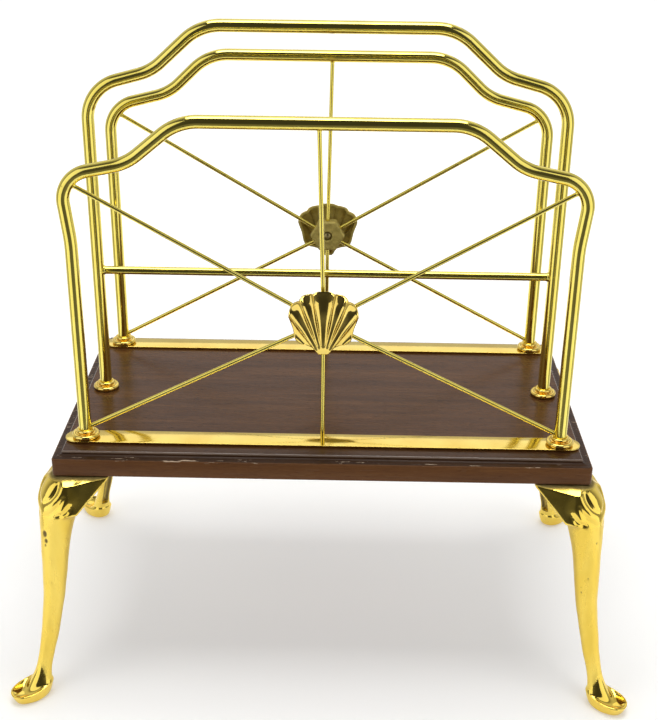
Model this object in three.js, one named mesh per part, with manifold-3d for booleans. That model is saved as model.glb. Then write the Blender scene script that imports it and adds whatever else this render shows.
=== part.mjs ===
// Magazine rack: a moulded mahogany base on four cast brass cabriole legs. Three bent brass
// tube frames stand on it and make two bays. The front and back frames stand on flat brass
// strips and each carries six spokes that meet in a hexagonal hub behind a cast scallop shell.
// Millimetres, +Z up, the front is -Y. The origin is on the floor under the middle of the base.

import * as THREE from 'three';
import { LoftGeometry } from 'three/addons/geometries/LoftGeometry.js';
import { mergeVertices, toCreasedNormals } from 'three/addons/utils/BufferGeometryUtils.js';
import Module from 'manifold-3d';

const GAP = 0.3; // between pieces that touch

// Base board
const BOARD_LENGTH = 403; // X
const BOARD_DEPTH = 225; // Y
const BOARD_THICKNESS = 17.9;
const BOARD_TOP = 203; // above the floor
const BOARD_BOTTOM = BOARD_TOP - BOARD_THICKNESS;
const BOARD_CORNER_RADIUS = 3;
const MOULDING_INSET = 8.2; // from the side of the board to the flat top
const MOULDING_DROP = 4.1; // from the flat top to the lower arris
const MOULDING_LAND = 0.7; // the flat step at the foot of the cove
const MOULDING_LIP = 1.1; // the square edge above the cove
const MOULDING_EASE = 0.4; // how far each arris of the moulding is eased
const EDGE_EASE = 0.9; // small bevel round the underside

// Tube frames
const TUBE_DIAMETER = 9.5;
const TUBE_BORE = 6.3;
const FRAME_SPACING = 88; // from one frame to the next
const FRAME_SETBACK = 3; // of the middle frame, behind the middle of the board
const UPRIGHT_SPACING = 360; // centre to centre of a frame's two uprights
const UPRIGHT_X = UPRIGHT_SPACING / 2;
const WAIST_RADIUS = 120; // where the uprights begin to lean out
const OGEE_RADIUS = 40; // both bends of the S between shoulder and top bar
const ARC_STEP = THREE.MathUtils.degToRad(14);

// The corners of each frame's outline on the right-hand side, before the bends are rounded.
// Heights are above the board. Each frame is bent by hand, so no two are quite alike.
const FRAMES = {
  front: {
    y: FRAME_SETBACK - FRAME_SPACING,
    waist: [UPRIGHT_X, 158],
    shoulder: [185.3, 205.6],
    elbow: [137.6, 215.2],
    crest: [101, 245.2],
    shoulderRadius: 22,
    hubHeight: 99,
    topSpokeX: -4.4,
  },
  middle: {
    y: FRAME_SETBACK,
    waist: null,
    shoulder: [UPRIGHT_X, 247.4],
    elbow: [130.6, 260.8],
    crest: [93.6, 294.5],
    shoulderRadius: 31,
    hubHeight: null,
    topSpokeX: null,
  },
  back: {
    y: FRAME_SETBACK + FRAME_SPACING,
    waist: null,
    shoulder: [UPRIGHT_X, 212.8],
    elbow: [130.1, 225.3],
    crest: [97.2, 256.5],
    shoulderRadius: 26,
    hubHeight: 105.5,
    topSpokeX: 2.4,
  },
};
const CROSS_BAR_DIAMETER = 6.35;
const CROSS_BAR_HEIGHT = 103.4; // above the board, on the middle frame
const ROD_SEAT = 1.3; // how far a rod's end goes into a tube's wall

// Strips and flanges
const STRIP_WIDTH = 19;
const STRIP_LENGTH = 391;
const STRIP_THICKNESS = 1.6;
const FLANGE_DIAMETER = 20.8;
const FLANGE_COLLAR_DIAMETER = 14;
const FLANGE_HEIGHT = 6.4;
const FLANGE_RIM_HEIGHT = 3;
const FLANGE_GROOVE_HEIGHT = 2.4; // the lowest part, between the rim and the collar
const FLANGE_ROUNDING = 0.7; // of the rim's and the collar's edges

// Spokes, hubs and shells
const SPOKE_DIAMETER = 3.2;
const SPOKE_FOOT_HEIGHT = 8.6; // where the lower spokes aim at the uprights, above the board
const HUB_ACROSS_CORNERS = 29;
const HUB_FLAT = (HUB_ACROSS_CORNERS / 2) * Math.cos(Math.PI / 6); // centre to flat
const HUB_THICKNESS = 10;
const HUB_SEAT = 5; // depth of the spoke holes in the hub
const SHELL_THICKNESS = 9.5;
const SHELL_BEVEL = 2; // of the rim's front edge
const SHELL_BASE_DROP = 20.5; // from the hub's centre down to the shell's narrow base
const SHELL_BASE_WIDTH = 10;
const SHELL_RIM_LENGTH = 45.7; // from the middle of the base straight up to the rim
const SHELL_RIM_FALL = 7; // how much shorter the outermost ribs are
const SHELL_EAR = [19.3, -11]; // the lower corner of each side, from the hub's centre
const SHELL_NECK = [8.5, -14.5];
const SHELL_LOBE_ANGLES = [-41, -25, -10, 10, 25, 41]; // where the rim's five lobes meet
const SHELL_LOBE_BULGE = 3; // of each lobe, past the straight line between its ends
const FLUTE_ANGLES = [-56, -33, -17.5, 0, 17.5, 33, 56];
const FLUTE_LENGTH = 60; // of the cone that cuts each flute, from the base to beyond the rim
const EAR_FLUTE_LENGTH = 40; // the same for the two outermost flutes
const FLUTE_DIAMETER = 12.5; // at its wide end
const FLUTE_POINT_DIAMETER = 0.8; // at the shell's base
const FLUTE_POINT_LIFT = 0.2; // above the face, of the flute cone's axis at the base
const FLUTE_RIM_LIFT = 3; // the same at the wide end
const FLUTE_SIDES = 10;

// Legs
const LEG_HEIGHT = BOARD_BOTTOM - GAP;
const WING_LENGTH = 39; // each of the two brackets that run along the board's edges
const WING_THICKNESS = 13;
const WING_INSET = 1.5; // from the board's side to the wing's face
const WING_SCREW_PLACE = 31; // from the board's corner along the wing
const WING_SCREW_SEAT = 4; // metal left above the screw head
const WING_TIP_HEIGHT = 4;
const WING_HEIGHT = 30; // where the bracket runs into the shaft
const WING_ROOT = [15, -WING_HEIGHT]; // the lower end of the bracket's curve
const WING_CORNER_FOOT = 5.5; // the bracket's lowest point nearest the corner
const WING_CURVE = [20, -12]; // the control point of that curve
const FOOT_LENGTH = 37;
const FOOT_WIDTH = 23;
const FOOT_CENTRE = 35.5; // outwards from the board's corner
const FOOT_HALF_HEIGHT = 14; // of the ellipsoid that the foot is cut from
const FOOT_CENTRE_HEIGHT = 4; // of that ellipsoid, above the sole
const DISH_SIZE = [30.8, 19.2, 18]; // the hollow in the foot's top
const DISH_SHIFT = 4; // of the hollow's centre towards the toe
const DISH_HEIGHT = 17.5; // of the hollow's centre, above the sole
const DISH_TILT = -0.1;

// The leg's shape is a curve through these stations: the drop below the leg's top, the centre
// line's distance outwards from the corner, and the radius.
const LEG_STATIONS = [
  [0, -9, 16], // inside the brackets
  [14, -5.5, 17], // knee
  [52, 2, 11.6],
  [100, 7.2, 8.6],
  [148, 18.5, 6.8], // ankle
  [164, 24, 6.5],
  [180, 29, 8.5], // inside the foot
];
const LEG_RINGS = 12;

// Fasteners
const FRAME_SCREW_DIAMETER = 5.2;
const FRAME_SCREW_REACH = 5; // into the tube, short of the spokes' ends
const FRAME_SCREW_HEAD = 9.6;
const FRAME_SCREW_HEAD_HEIGHT = 3.4;
const WASHER_DIAMETER = 12.6;
const WASHER_THICKNESS = 1;
const COUNTERBORE_DIAMETER = 14;
const COUNTERBORE_DEPTH = 7;
const SCREW_CLEARANCE = 6.2;
const LEG_SCREW_DIAMETER = 3.5;
const LEG_SCREW_HEAD = 7;
const LEG_SCREW_HEAD_HEIGHT = 2.4;
const LEG_SCREW_REACH = 12; // into the board
const LEG_SCREW_POCKET = 9; // the bracket's counterbore
const HOLE_END_CLEARANCE = 1.5; // between a screw's tip and the end of its hole
const HUB_SCREW_DIAMETER = 4;
const HUB_SCREW_HEAD = 7.2;
const HUB_SCREW_HEAD_HEIGHT = 2.4;
const HUB_SCREW_REACH = 4; // into the shell
const HUB_SCREW_SINK = 0.6; // of its head, below the hub's face

const ROUND = 12; // sides of a round piece
const SMALL_ROUND = 8; // sides of a thin rod or a screw
const PAST = 3; // how far a cutting tool reaches past the face it starts at

const materials = {
  wood: new THREE.MeshStandardMaterial({ color: 0x3b2019, roughness: 0.32, metalness: 0 }),
  brass: new THREE.MeshStandardMaterial({ color: 0xd9b44a, roughness: 0.14, metalness: 1 }),
  castBrass: new THREE.MeshStandardMaterial({ color: 0xdcb53f, roughness: 0.3, metalness: 1 }),
  dullBrass: new THREE.MeshStandardMaterial({ color: 0x7d6a35, roughness: 0.75, metalness: 0.9 }),
  steel: new THREE.MeshStandardMaterial({ color: 0x9a9c9e, roughness: 0.4, metalness: 1 }),
};

// ---------------------------------------------------------------- solids

const wasm = await Module();
wasm.setup();

function toSolid(geometry) {
  const bare = new THREE.BufferGeometry();
  bare.setAttribute('position', geometry.getAttribute('position'));
  bare.setIndex(geometry.index);
  const merged = mergeVertices(bare, 1e-4);
  return new wasm.Manifold(
    new wasm.Mesh({
      numProp: 3,
      vertProperties: merged.attributes.position.array,
      triVerts: new Uint32Array(merged.index.array),
    }),
  );
}

function toGeometry(solid) {
  const { vertProperties, triVerts } = solid.getMesh();
  const geometry = new THREE.BufferGeometry();
  geometry.setAttribute('position', new THREE.BufferAttribute(vertProperties, 3));
  geometry.setIndex(new THREE.BufferAttribute(triVerts, 1));
  return toCreasedNormals(geometry, Math.PI / 6);
}

function join(...geometries) {
  const solids = geometries.map(toSolid);
  return toGeometry(solids.reduce((whole, solid) => whole.add(solid)));
}

function cut(geometry, tools) {
  const solids = tools.map(toSolid);
  return toGeometry(solids.reduce((left, solid) => left.subtract(solid), toSolid(geometry)));
}

// A cylinder from one point to another.
function rod(from, to, diameter, sides = ROUND, endDiameter = diameter) {
  const along = to.clone().sub(from);
  const geometry = new THREE.CylinderGeometry(endDiameter / 2, diameter / 2, along.length(), sides);
  const turn = new THREE.Quaternion().setFromUnitVectors(
    new THREE.Vector3(0, 1, 0),
    along.clone().normalize(),
  );
  geometry.applyQuaternion(turn);
  const middle = from.clone().add(to).multiplyScalar(0.5);
  return geometry.translate(middle.x, middle.y, middle.z);
}

function uprightRod(x, y, bottom, top, diameter, sides = ROUND) {
  return rod(new THREE.Vector3(x, y, bottom), new THREE.Vector3(x, y, top), diameter, sides);
}

// A turned piece about the Z axis; the profile is [radius, height] pairs from the bottom up.
function turned(profile, sides) {
  const points = profile.map(([radius, height]) => new THREE.Vector2(radius, height));
  return new THREE.LatheGeometry(points, sides).rotateX(Math.PI / 2);
}

// ---------------------------------------------------------------- the assembly

const rack = new THREE.Group();

function add(name, geometry, material, x = 0, y = 0, z = 0, turn = 0) {
  const mesh = new THREE.Mesh(geometry, material);
  mesh.name = name;
  mesh.position.set(x, y, z);
  mesh.rotation.z = turn;
  rack.add(mesh);
}

const handedSides = { left: -1, right: 1 };
const frameFeet = [];
for (const [frame, { y }] of Object.entries(FRAMES)) {
  for (const [side, sign] of Object.entries(handedSides)) {
    frameFeet.push({ name: `${frame}_${side}`, x: sign * UPRIGHT_X, y, onStrip: frame !== 'middle' });
  }
}
const corners = [];
for (const [depth, front] of Object.entries({ front: -1, back: 1 })) {
  for (const [side, sign] of Object.entries(handedSides)) {
    const turn = Math.atan2(front, sign);
    const x = (sign * BOARD_LENGTH) / 2;
    const y = (front * BOARD_DEPTH) / 2;
    corners.push({ name: `${depth}_${side}`, x, y, turn });
  }
}

function seatHeight(onStrip) {
  return BOARD_TOP + GAP + (onStrip ? STRIP_THICKNESS + GAP : 0);
}

// ---------------------------------------------------------------- base board

// A rectangle with round corners, as a ring of points at one height.
function boardRing(inset, z) {
  const radius = BOARD_CORNER_RADIUS;
  const reachX = BOARD_LENGTH / 2 - inset - radius;
  const reachY = BOARD_DEPTH / 2 - inset - radius;
  const ring = [];
  const arcSteps = 3;
  [[1, -1], [1, 1], [-1, 1], [-1, -1]].forEach(([signX, signY], quarter) => {
    for (let step = 0; step <= arcSteps; step += 1) {
      const angle = (quarter - 1 + step / arcSteps) * (Math.PI / 2);
      const x = signX * reachX + radius * Math.cos(angle);
      const y = signY * reachY + radius * Math.sin(angle);
      ring.push(new THREE.Vector3(x, y, z));
    }
  });
  return ring;
}

// The side of the board from the underside up: eased edge, square side, cove, lip, flat top.
function boardProfile() {
  const arris = BOARD_THICKNESS - MOULDING_DROP;
  const coveWidth = MOULDING_INSET - MOULDING_LAND - 2 * MOULDING_EASE;
  const coveDepth = MOULDING_DROP - MOULDING_LIP - MOULDING_EASE;
  const profile = [
    [EDGE_EASE, 0],
    [0, EDGE_EASE],
    [0, arris],
    [MOULDING_EASE, arris + MOULDING_EASE],
  ];
  const coveSteps = 4;
  for (let step = 0; step <= coveSteps; step += 1) {
    const angle = (step / coveSteps) * (Math.PI / 2);
    const inset = MOULDING_LAND + coveWidth * Math.sin(angle);
    const rise = coveDepth * (1 - Math.cos(angle));
    profile.push([inset, arris + MOULDING_EASE + rise]);
  }
  profile.push([MOULDING_INSET - MOULDING_EASE, BOARD_THICKNESS - MOULDING_EASE]);
  profile.push([MOULDING_INSET, BOARD_THICKNESS]);
  return profile;
}

function boardGeometry() {
  const rings = boardProfile().map(([inset, z]) => boardRing(inset, BOARD_BOTTOM + z));
  const board = new LoftGeometry(rings, { capStart: true, capEnd: true });
  const holes = [];
  const below = BOARD_BOTTOM - PAST;
  for (const { x, y } of frameFeet) {
    const seat = BOARD_BOTTOM + COUNTERBORE_DEPTH;
    holes.push(uprightRod(x, y, below, BOARD_TOP + PAST, SCREW_CLEARANCE));
    holes.push(uprightRod(x, y, below, seat, COUNTERBORE_DIAMETER));
  }
  const pilotTop = BOARD_BOTTOM + LEG_SCREW_REACH + HOLE_END_CLEARANCE;
  const pilotDiameter = LEG_SCREW_DIAMETER + 2 * GAP;
  for (const corner of corners) {
    for (const { x, y } of legScrewPlaces(corner)) {
      holes.push(uprightRod(x, y, below, pilotTop, pilotDiameter, SMALL_ROUND));
    }
  }
  return cut(board, holes);
}

// ---------------------------------------------------------------- strips and flanges

// A flat bar with full round ends, drilled for the frame screws and the lower upright spoke.
function stripGeometry() {
  const radius = STRIP_WIDTH / 2;
  const reach = STRIP_LENGTH / 2 - radius;
  const outline = new THREE.Shape();
  outline.absarc(reach, 0, radius, -Math.PI / 2, Math.PI / 2);
  outline.absarc(-reach, 0, radius, Math.PI / 2, (3 * Math.PI) / 2);
  const drilled = [
    [-UPRIGHT_X, SCREW_CLEARANCE],
    [0, SPOKE_DIAMETER + 2 * GAP],
    [UPRIGHT_X, SCREW_CLEARANCE],
  ];
  for (const [x, diameter] of drilled) {
    const hole = new THREE.Path();
    hole.absarc(x, 0, diameter / 2, 0, 2 * Math.PI, true);
    outline.holes.push(hole);
  }
  return new THREE.ExtrudeGeometry(outline, {
    depth: STRIP_THICKNESS,
    bevelEnabled: false,
    curveSegments: 6,
  });
}

// A turned ring: a rounded rim, a groove, then a raised collar round the tube.
function flangeGeometry() {
  const bore = TUBE_DIAMETER / 2 + GAP;
  const rim = FLANGE_DIAMETER / 2;
  const collar = FLANGE_COLLAR_DIAMETER / 2;
  return turned(
    [
      [bore, 0],
      [rim - FLANGE_ROUNDING, 0],
      [rim, FLANGE_RIM_HEIGHT / 2],
      [rim - FLANGE_ROUNDING, FLANGE_RIM_HEIGHT - FLANGE_ROUNDING / 3],
      [rim - 3 * FLANGE_ROUNDING, FLANGE_RIM_HEIGHT],
      [collar, FLANGE_GROOVE_HEIGHT],
      [collar, FLANGE_HEIGHT - 2 * FLANGE_ROUNDING],
      [collar - FLANGE_ROUNDING, FLANGE_HEIGHT],
      [bore, FLANGE_HEIGHT],
      [bore, 0],
    ],
    ROUND,
  );
}

// ---------------------------------------------------------------- tube frames

// A path through listed points. Its steps fall on the points, however far apart they are.
class PointPath extends THREE.Curve {
  constructor(points) {
    super();
    this.points = points;
  }

  getPoint(t, target = new THREE.Vector3()) {
    const place = t * (this.points.length - 1);
    const index = Math.min(Math.floor(place), this.points.length - 2);
    return target.lerpVectors(this.points[index], this.points[index + 1], place - index);
  }

  getUtoTmapping(u) {
    return u;
  }
}

// The arc that rounds one corner of a bent rod: its centre and the points along it.
function bend(before, corner, after, radius) {
  const back = before.clone().sub(corner).normalize();
  const ahead = after.clone().sub(corner).normalize();
  const half = back.angleTo(ahead) / 2;
  const inwards = back.clone().add(ahead).normalize();
  const centre = corner.clone().addScaledVector(inwards, radius / Math.sin(half));
  const start = corner.clone().addScaledVector(back, radius / Math.tan(half)).sub(centre);
  const end = corner.clone().addScaledVector(ahead, radius / Math.tan(half)).sub(centre);
  const axis = start.clone().cross(end).normalize();
  const turn = start.angleTo(end);
  const steps = Math.max(1, Math.round(turn / ARC_STEP));
  const points = [];
  for (let step = 0; step <= steps; step += 1) {
    points.push(start.clone().applyAxisAngle(axis, (turn * step) / steps).add(centre));
  }
  const middle = centre.clone().addScaledVector(inwards, -radius);
  return { points, middle };
}

function framePoint([x, height], y) {
  return new THREE.Vector3(x, y, BOARD_TOP + height);
}

// The right-hand half of a frame's centre line, from the foot up, and its shoulder's middle.
function halfOutline({ y, waist, shoulder, elbow, crest, shoulderRadius }, footZ) {
  const cornersUp = [
    { at: new THREE.Vector3(UPRIGHT_X, y, footZ) },
    { at: framePoint(shoulder, y), radius: shoulderRadius },
    { at: framePoint(elbow, y), radius: OGEE_RADIUS },
    { at: framePoint(crest, y), radius: OGEE_RADIUS },
    { at: framePoint([0, crest[1]], y) },
  ];
  if (waist) {
    cornersUp.splice(1, 0, { at: framePoint(waist, y), radius: WAIST_RADIUS });
  }
  const points = [cornersUp[0].at];
  let shoulderMiddle = null;
  for (let index = 1; index < cornersUp.length - 1; index += 1) {
    const [before, here, after] = cornersUp.slice(index - 1, index + 2);
    const arc = bend(before.at, here.at, after.at, here.radius);
    points.push(...arc.points);
    if (here.radius === shoulderRadius) {
      shoulderMiddle = arc.middle;
    }
  }
  return { points, shoulderMiddle };
}

function mirrored(point) {
  return new THREE.Vector3(-point.x, point.y, point.z);
}

function tubeSection() {
  const section = new THREE.Shape();
  section.absarc(0, 0, TUBE_DIAMETER / 2, 0, 2 * Math.PI);
  const bore = new THREE.Path();
  bore.absarc(0, 0, TUBE_BORE / 2, 0, 2 * Math.PI, true);
  section.holes.push(bore);
  return section;
}

function tubeGeometry(points) {
  return new THREE.ExtrudeGeometry(tubeSection(), {
    extrudePath: new PointPath(points),
    steps: points.length - 1,
    curveSegments: ROUND / 2,
    bevelEnabled: false,
  });
}

// The end of a rod that runs from one point towards a tube's centre line.
function rodEnd(from, target) {
  const along = target.clone().sub(from).normalize();
  return target.clone().addScaledVector(along, ROD_SEAT - TUBE_DIAMETER / 2);
}

// A hole through the inner wall of a tube, for a rod that comes from one point.
function rodHole(from, target, diameter) {
  const along = target.clone().sub(from).normalize();
  const start = target.clone().addScaledVector(along, -TUBE_DIAMETER);
  return rod(start, target, diameter + 2 * GAP, SMALL_ROUND);
}

// ---------------------------------------------------------------- spokes, hubs and shells

// Where the six spokes of a frame aim, by name; each starts at the hub's centre.
function spokeTargets({ y, crest, topSpokeX }, shoulderMiddle) {
  const foot = framePoint([UPRIGHT_X, SPOKE_FOOT_HEIGHT], y);
  return {
    top: framePoint([topSpokeX, crest[1]], y),
    upper_right: shoulderMiddle,
    lower_right: foot,
    bottom: new THREE.Vector3(0, y, BOARD_TOP + GAP),
    lower_left: mirrored(foot),
    upper_left: mirrored(shoulderMiddle),
  };
}

function spokeEnds(hub, target, name) {
  const along = target.clone().sub(hub).normalize();
  const start = hub.clone().addScaledVector(along, HUB_FLAT - HUB_SEAT + GAP);
  const end = name === 'bottom' ? target : rodEnd(hub, target);
  return [start, end];
}

// A six-sided boss with a hole in each side for its spoke and a seat for its screw.
function hubGeometry(hub, targets, facing) {
  const boss = new THREE.CylinderGeometry(
    HUB_ACROSS_CORNERS / 2,
    HUB_ACROSS_CORNERS / 2,
    HUB_THICKNESS,
    6,
  );
  boss.rotateY(Math.PI / 2).translate(hub.x, hub.y, hub.z);
  const inner = -facing * (HUB_THICKNESS / 2);
  const outside = -facing * (HUB_THICKNESS / 2 + PAST);
  const tools = Object.values(targets).map((target) => {
    const along = target.clone().sub(hub).normalize();
    const start = hub.clone().addScaledVector(along, HUB_FLAT - HUB_SEAT);
    const end = hub.clone().addScaledVector(along, HUB_FLAT + PAST);
    return rod(start, end, SPOKE_DIAMETER + 2 * GAP, SMALL_ROUND);
  });
  const level = (offset) => new THREE.Vector3(hub.x, hub.y + offset, hub.z);
  const seat = inner + facing * (HUB_SCREW_HEAD_HEIGHT + HUB_SCREW_SINK);
  tools.push(rod(level(outside), level(-outside), HUB_SCREW_DIAMETER + 2 * GAP, SMALL_ROUND));
  tools.push(rod(level(outside), level(seat), HUB_SCREW_HEAD + 2 * GAP));
  return cut(boss, tools);
}

function onRay(angle, length) {
  const radians = THREE.MathUtils.degToRad(angle);
  return new THREE.Vector2(length * Math.sin(radians), length * Math.cos(radians) - SHELL_BASE_DROP);
}

function shellRimLength(angle) {
  return SHELL_RIM_LENGTH - SHELL_RIM_FALL * (angle / SHELL_LOBE_ANGLES.at(-1)) ** 2;
}

// The outline of the scallop shell: a narrow base, two ears and five rim lobes.
function shellOutline() {
  const ear = new THREE.Vector2(...SHELL_EAR);
  const neck = new THREE.Vector2(...SHELL_NECK);
  const base = SHELL_BASE_WIDTH / 2;
  const rim = SHELL_LOBE_ANGLES.map((angle) => onRay(angle, shellRimLength(angle)));
  const outline = new THREE.Shape();
  outline.moveTo(-base, -SHELL_BASE_DROP);
  outline.lineTo(base, -SHELL_BASE_DROP);
  outline.lineTo(neck.x, neck.y);
  outline.lineTo(ear.x, ear.y);
  outline.lineTo(rim.at(-1).x, rim.at(-1).y);
  for (let lobe = rim.length - 2; lobe >= 0; lobe -= 1) {
    const middle = (SHELL_LOBE_ANGLES[lobe] + SHELL_LOBE_ANGLES[lobe + 1]) / 2;
    const bulge = onRay(middle, shellRimLength(middle) + SHELL_LOBE_BULGE);
    outline.quadraticCurveTo(bulge.x, bulge.y, rim[lobe].x, rim[lobe].y);
  }
  outline.lineTo(-ear.x, ear.y);
  outline.lineTo(-neck.x, neck.y);
  outline.closePath();
  return outline;
}

// The shell lies in its own XY plane with its fluted face to +Z and its flat back at z = 0.
function shellGeometry() {
  const plate = new THREE.ExtrudeGeometry(shellOutline(), {
    depth: SHELL_THICKNESS - SHELL_BEVEL,
    curveSegments: 4,
    bevelThickness: SHELL_BEVEL,
    bevelSize: SHELL_BEVEL,
    bevelOffset: -SHELL_BEVEL,
    bevelSegments: 2,
  });
  const outermost = FLUTE_ANGLES.at(-1);
  const base = new THREE.Vector3(0, -SHELL_BASE_DROP, SHELL_THICKNESS + FLUTE_POINT_LIFT);
  const tools = FLUTE_ANGLES.map((angle) => {
    const end = onRay(angle, Math.abs(angle) === outermost ? EAR_FLUTE_LENGTH : FLUTE_LENGTH);
    const to = new THREE.Vector3(end.x, end.y, SHELL_THICKNESS + FLUTE_RIM_LIFT);
    return rod(base, to, FLUTE_POINT_DIAMETER, FLUTE_SIDES, FLUTE_DIAMETER);
  });
  const screwTop = HUB_SCREW_REACH + HUB_SCREW_SINK + 2 * GAP;
  tools.push(uprightRod(0, 0, -PAST, screwTop, HUB_SCREW_DIAMETER + 2 * GAP, SMALL_ROUND));
  const behind = new THREE.BoxGeometry(2 * SHELL_RIM_LENGTH, 2 * SHELL_RIM_LENGTH, 2 * SHELL_BEVEL);
  tools.push(behind.translate(0, 0, -SHELL_BEVEL));
  return cut(plate, tools);
}

// ---------------------------------------------------------------- legs

// The local frame of a leg: its origin under the board's corner, +X outwards on the diagonal.
function legShaft() {
  const stations = LEG_STATIONS.map((station) => new THREE.Vector3(...station));
  const shape = new THREE.CatmullRomCurve3(stations);
  const rings = shape.getPoints(LEG_RINGS - 1).map(({ x: drop, y: centre, z: radius }) => {
    const ring = [];
    for (let side = 0; side < ROUND; side += 1) {
      const angle = (side / ROUND) * 2 * Math.PI;
      const x = centre + radius * Math.cos(angle);
      const y = radius * Math.sin(angle);
      ring.push(new THREE.Vector3(x, y, -drop));
    }
    return ring.reverse();
  });
  return new LoftGeometry(rings, { capStart: true, capEnd: true });
}

// One bracket under the board's edge, on the board's side of it. With sign 1 it runs from the
// corner at -135 degrees, with sign -1 at 135 degrees.
function legWing(sign) {
  const profile = new THREE.Shape();
  profile.moveTo(WING_INSET, 0);
  profile.lineTo(WING_LENGTH, 0);
  profile.lineTo(WING_LENGTH, -WING_TIP_HEIGHT);
  profile.quadraticCurveTo(...WING_CURVE, ...WING_ROOT);
  profile.lineTo(WING_CORNER_FOOT, -WING_HEIGHT);
  profile.closePath();
  const wing = new THREE.ExtrudeGeometry(profile, {
    depth: WING_THICKNESS,
    bevelEnabled: false,
    curveSegments: 4,
  });
  wing.rotateX(Math.PI / 2);
  if (sign > 0) {
    wing.translate(0, -WING_INSET, 0);
  } else {
    wing.translate(0, WING_THICKNESS + WING_INSET, 0);
  }
  return wing.rotateZ(sign > 0 ? (-3 * Math.PI) / 4 : (3 * Math.PI) / 4);
}

// A boat-shaped foot with a dished, turned-up toe and a flat sole.
function legFoot() {
  const sole = -LEG_HEIGHT;
  const hull = new THREE.SphereGeometry(1, 12, 8);
  hull.rotateX(Math.PI / 2).scale(FOOT_LENGTH / 2, FOOT_WIDTH / 2, FOOT_HALF_HEIGHT);
  hull.translate(FOOT_CENTRE, 0, sole + FOOT_CENTRE_HEIGHT);
  const dish = new THREE.SphereGeometry(0.5, 10, 6);
  dish.rotateX(Math.PI / 2).scale(...DISH_SIZE).rotateY(DISH_TILT);
  dish.translate(FOOT_CENTRE + DISH_SHIFT, 0, sole + DISH_HEIGHT);
  const below = new THREE.BoxGeometry(2 * FOOT_LENGTH, 2 * FOOT_WIDTH, FOOT_HALF_HEIGHT);
  below.translate(FOOT_CENTRE, 0, sole - FOOT_HALF_HEIGHT / 2);
  return cut(hull, [dish, below]);
}

function wingScrewPlace(sign) {
  const along = new THREE.Vector2(WING_SCREW_PLACE, -sign * (WING_INSET + WING_THICKNESS / 2));
  return along.rotateAround(new THREE.Vector2(), (-sign * 3 * Math.PI) / 4);
}

function legScrewPlaces({ x, y, turn }) {
  return [1, -1].map((sign) => {
    const place = wingScrewPlace(sign).rotateAround(new THREE.Vector2(), turn);
    return new THREE.Vector2(x + place.x, y + place.y);
  });
}

function legGeometry() {
  const whole = join(legShaft(), legWing(1), legWing(-1), legFoot());
  const above = new THREE.BoxGeometry(2 * WING_LENGTH, 2 * WING_LENGTH, WING_LENGTH);
  const tools = [above.translate(0, 0, WING_LENGTH / 2)];
  for (const sign of [1, -1]) {
    const { x, y } = wingScrewPlace(sign);
    const below = -WING_HEIGHT - PAST;
    tools.push(uprightRod(x, y, below, PAST, LEG_SCREW_DIAMETER + 2 * GAP, SMALL_ROUND));
    tools.push(uprightRod(x, y, below, -WING_SCREW_SEAT, LEG_SCREW_POCKET));
  }
  return cut(whole, tools);
}

// ---------------------------------------------------------------- fasteners

// A screw that points up, with its head's underside at z = 0.
function screwGeometry(diameter, reach, headDiameter, headHeight, sides) {
  const radius = diameter / 2;
  const head = headDiameter / 2;
  return turned(
    [
      [0, -headHeight],
      [head * 0.7, -headHeight],
      [head, -headHeight * 0.45],
      [head, 0],
      [radius, 0],
      [radius, reach - radius * 0.6],
      [radius * 0.5, reach],
      [0, reach],
    ],
    sides,
  );
}

function washerGeometry() {
  const bore = FRAME_SCREW_DIAMETER / 2 + GAP;
  const rim = WASHER_DIAMETER / 2;
  const top = WASHER_THICKNESS;
  return turned([[bore, 0], [rim, 0], [rim, top], [bore, top], [bore, 0]], ROUND);
}

// ---------------------------------------------------------------- build

add('base_board', boardGeometry(), materials.wood);

const strip = stripGeometry();
const flange = flangeGeometry();
for (const frame of ['front', 'back']) {
  add(`${frame}_strip`, strip, materials.brass, 0, FRAMES[frame].y, BOARD_TOP + GAP);
}
for (const { name, x, y, onStrip } of frameFeet) {
  add(`${name}_flange`, flange, materials.brass, x, y, seatHeight(onStrip));
}

const shell = shellGeometry();
const hubScrew = screwGeometry(
  HUB_SCREW_DIAMETER,
  HUB_THICKNESS - HUB_SCREW_HEAD_HEIGHT - GAP + HUB_SCREW_REACH,
  HUB_SCREW_HEAD,
  HUB_SCREW_HEAD_HEIGHT,
  ROUND,
);

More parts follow.
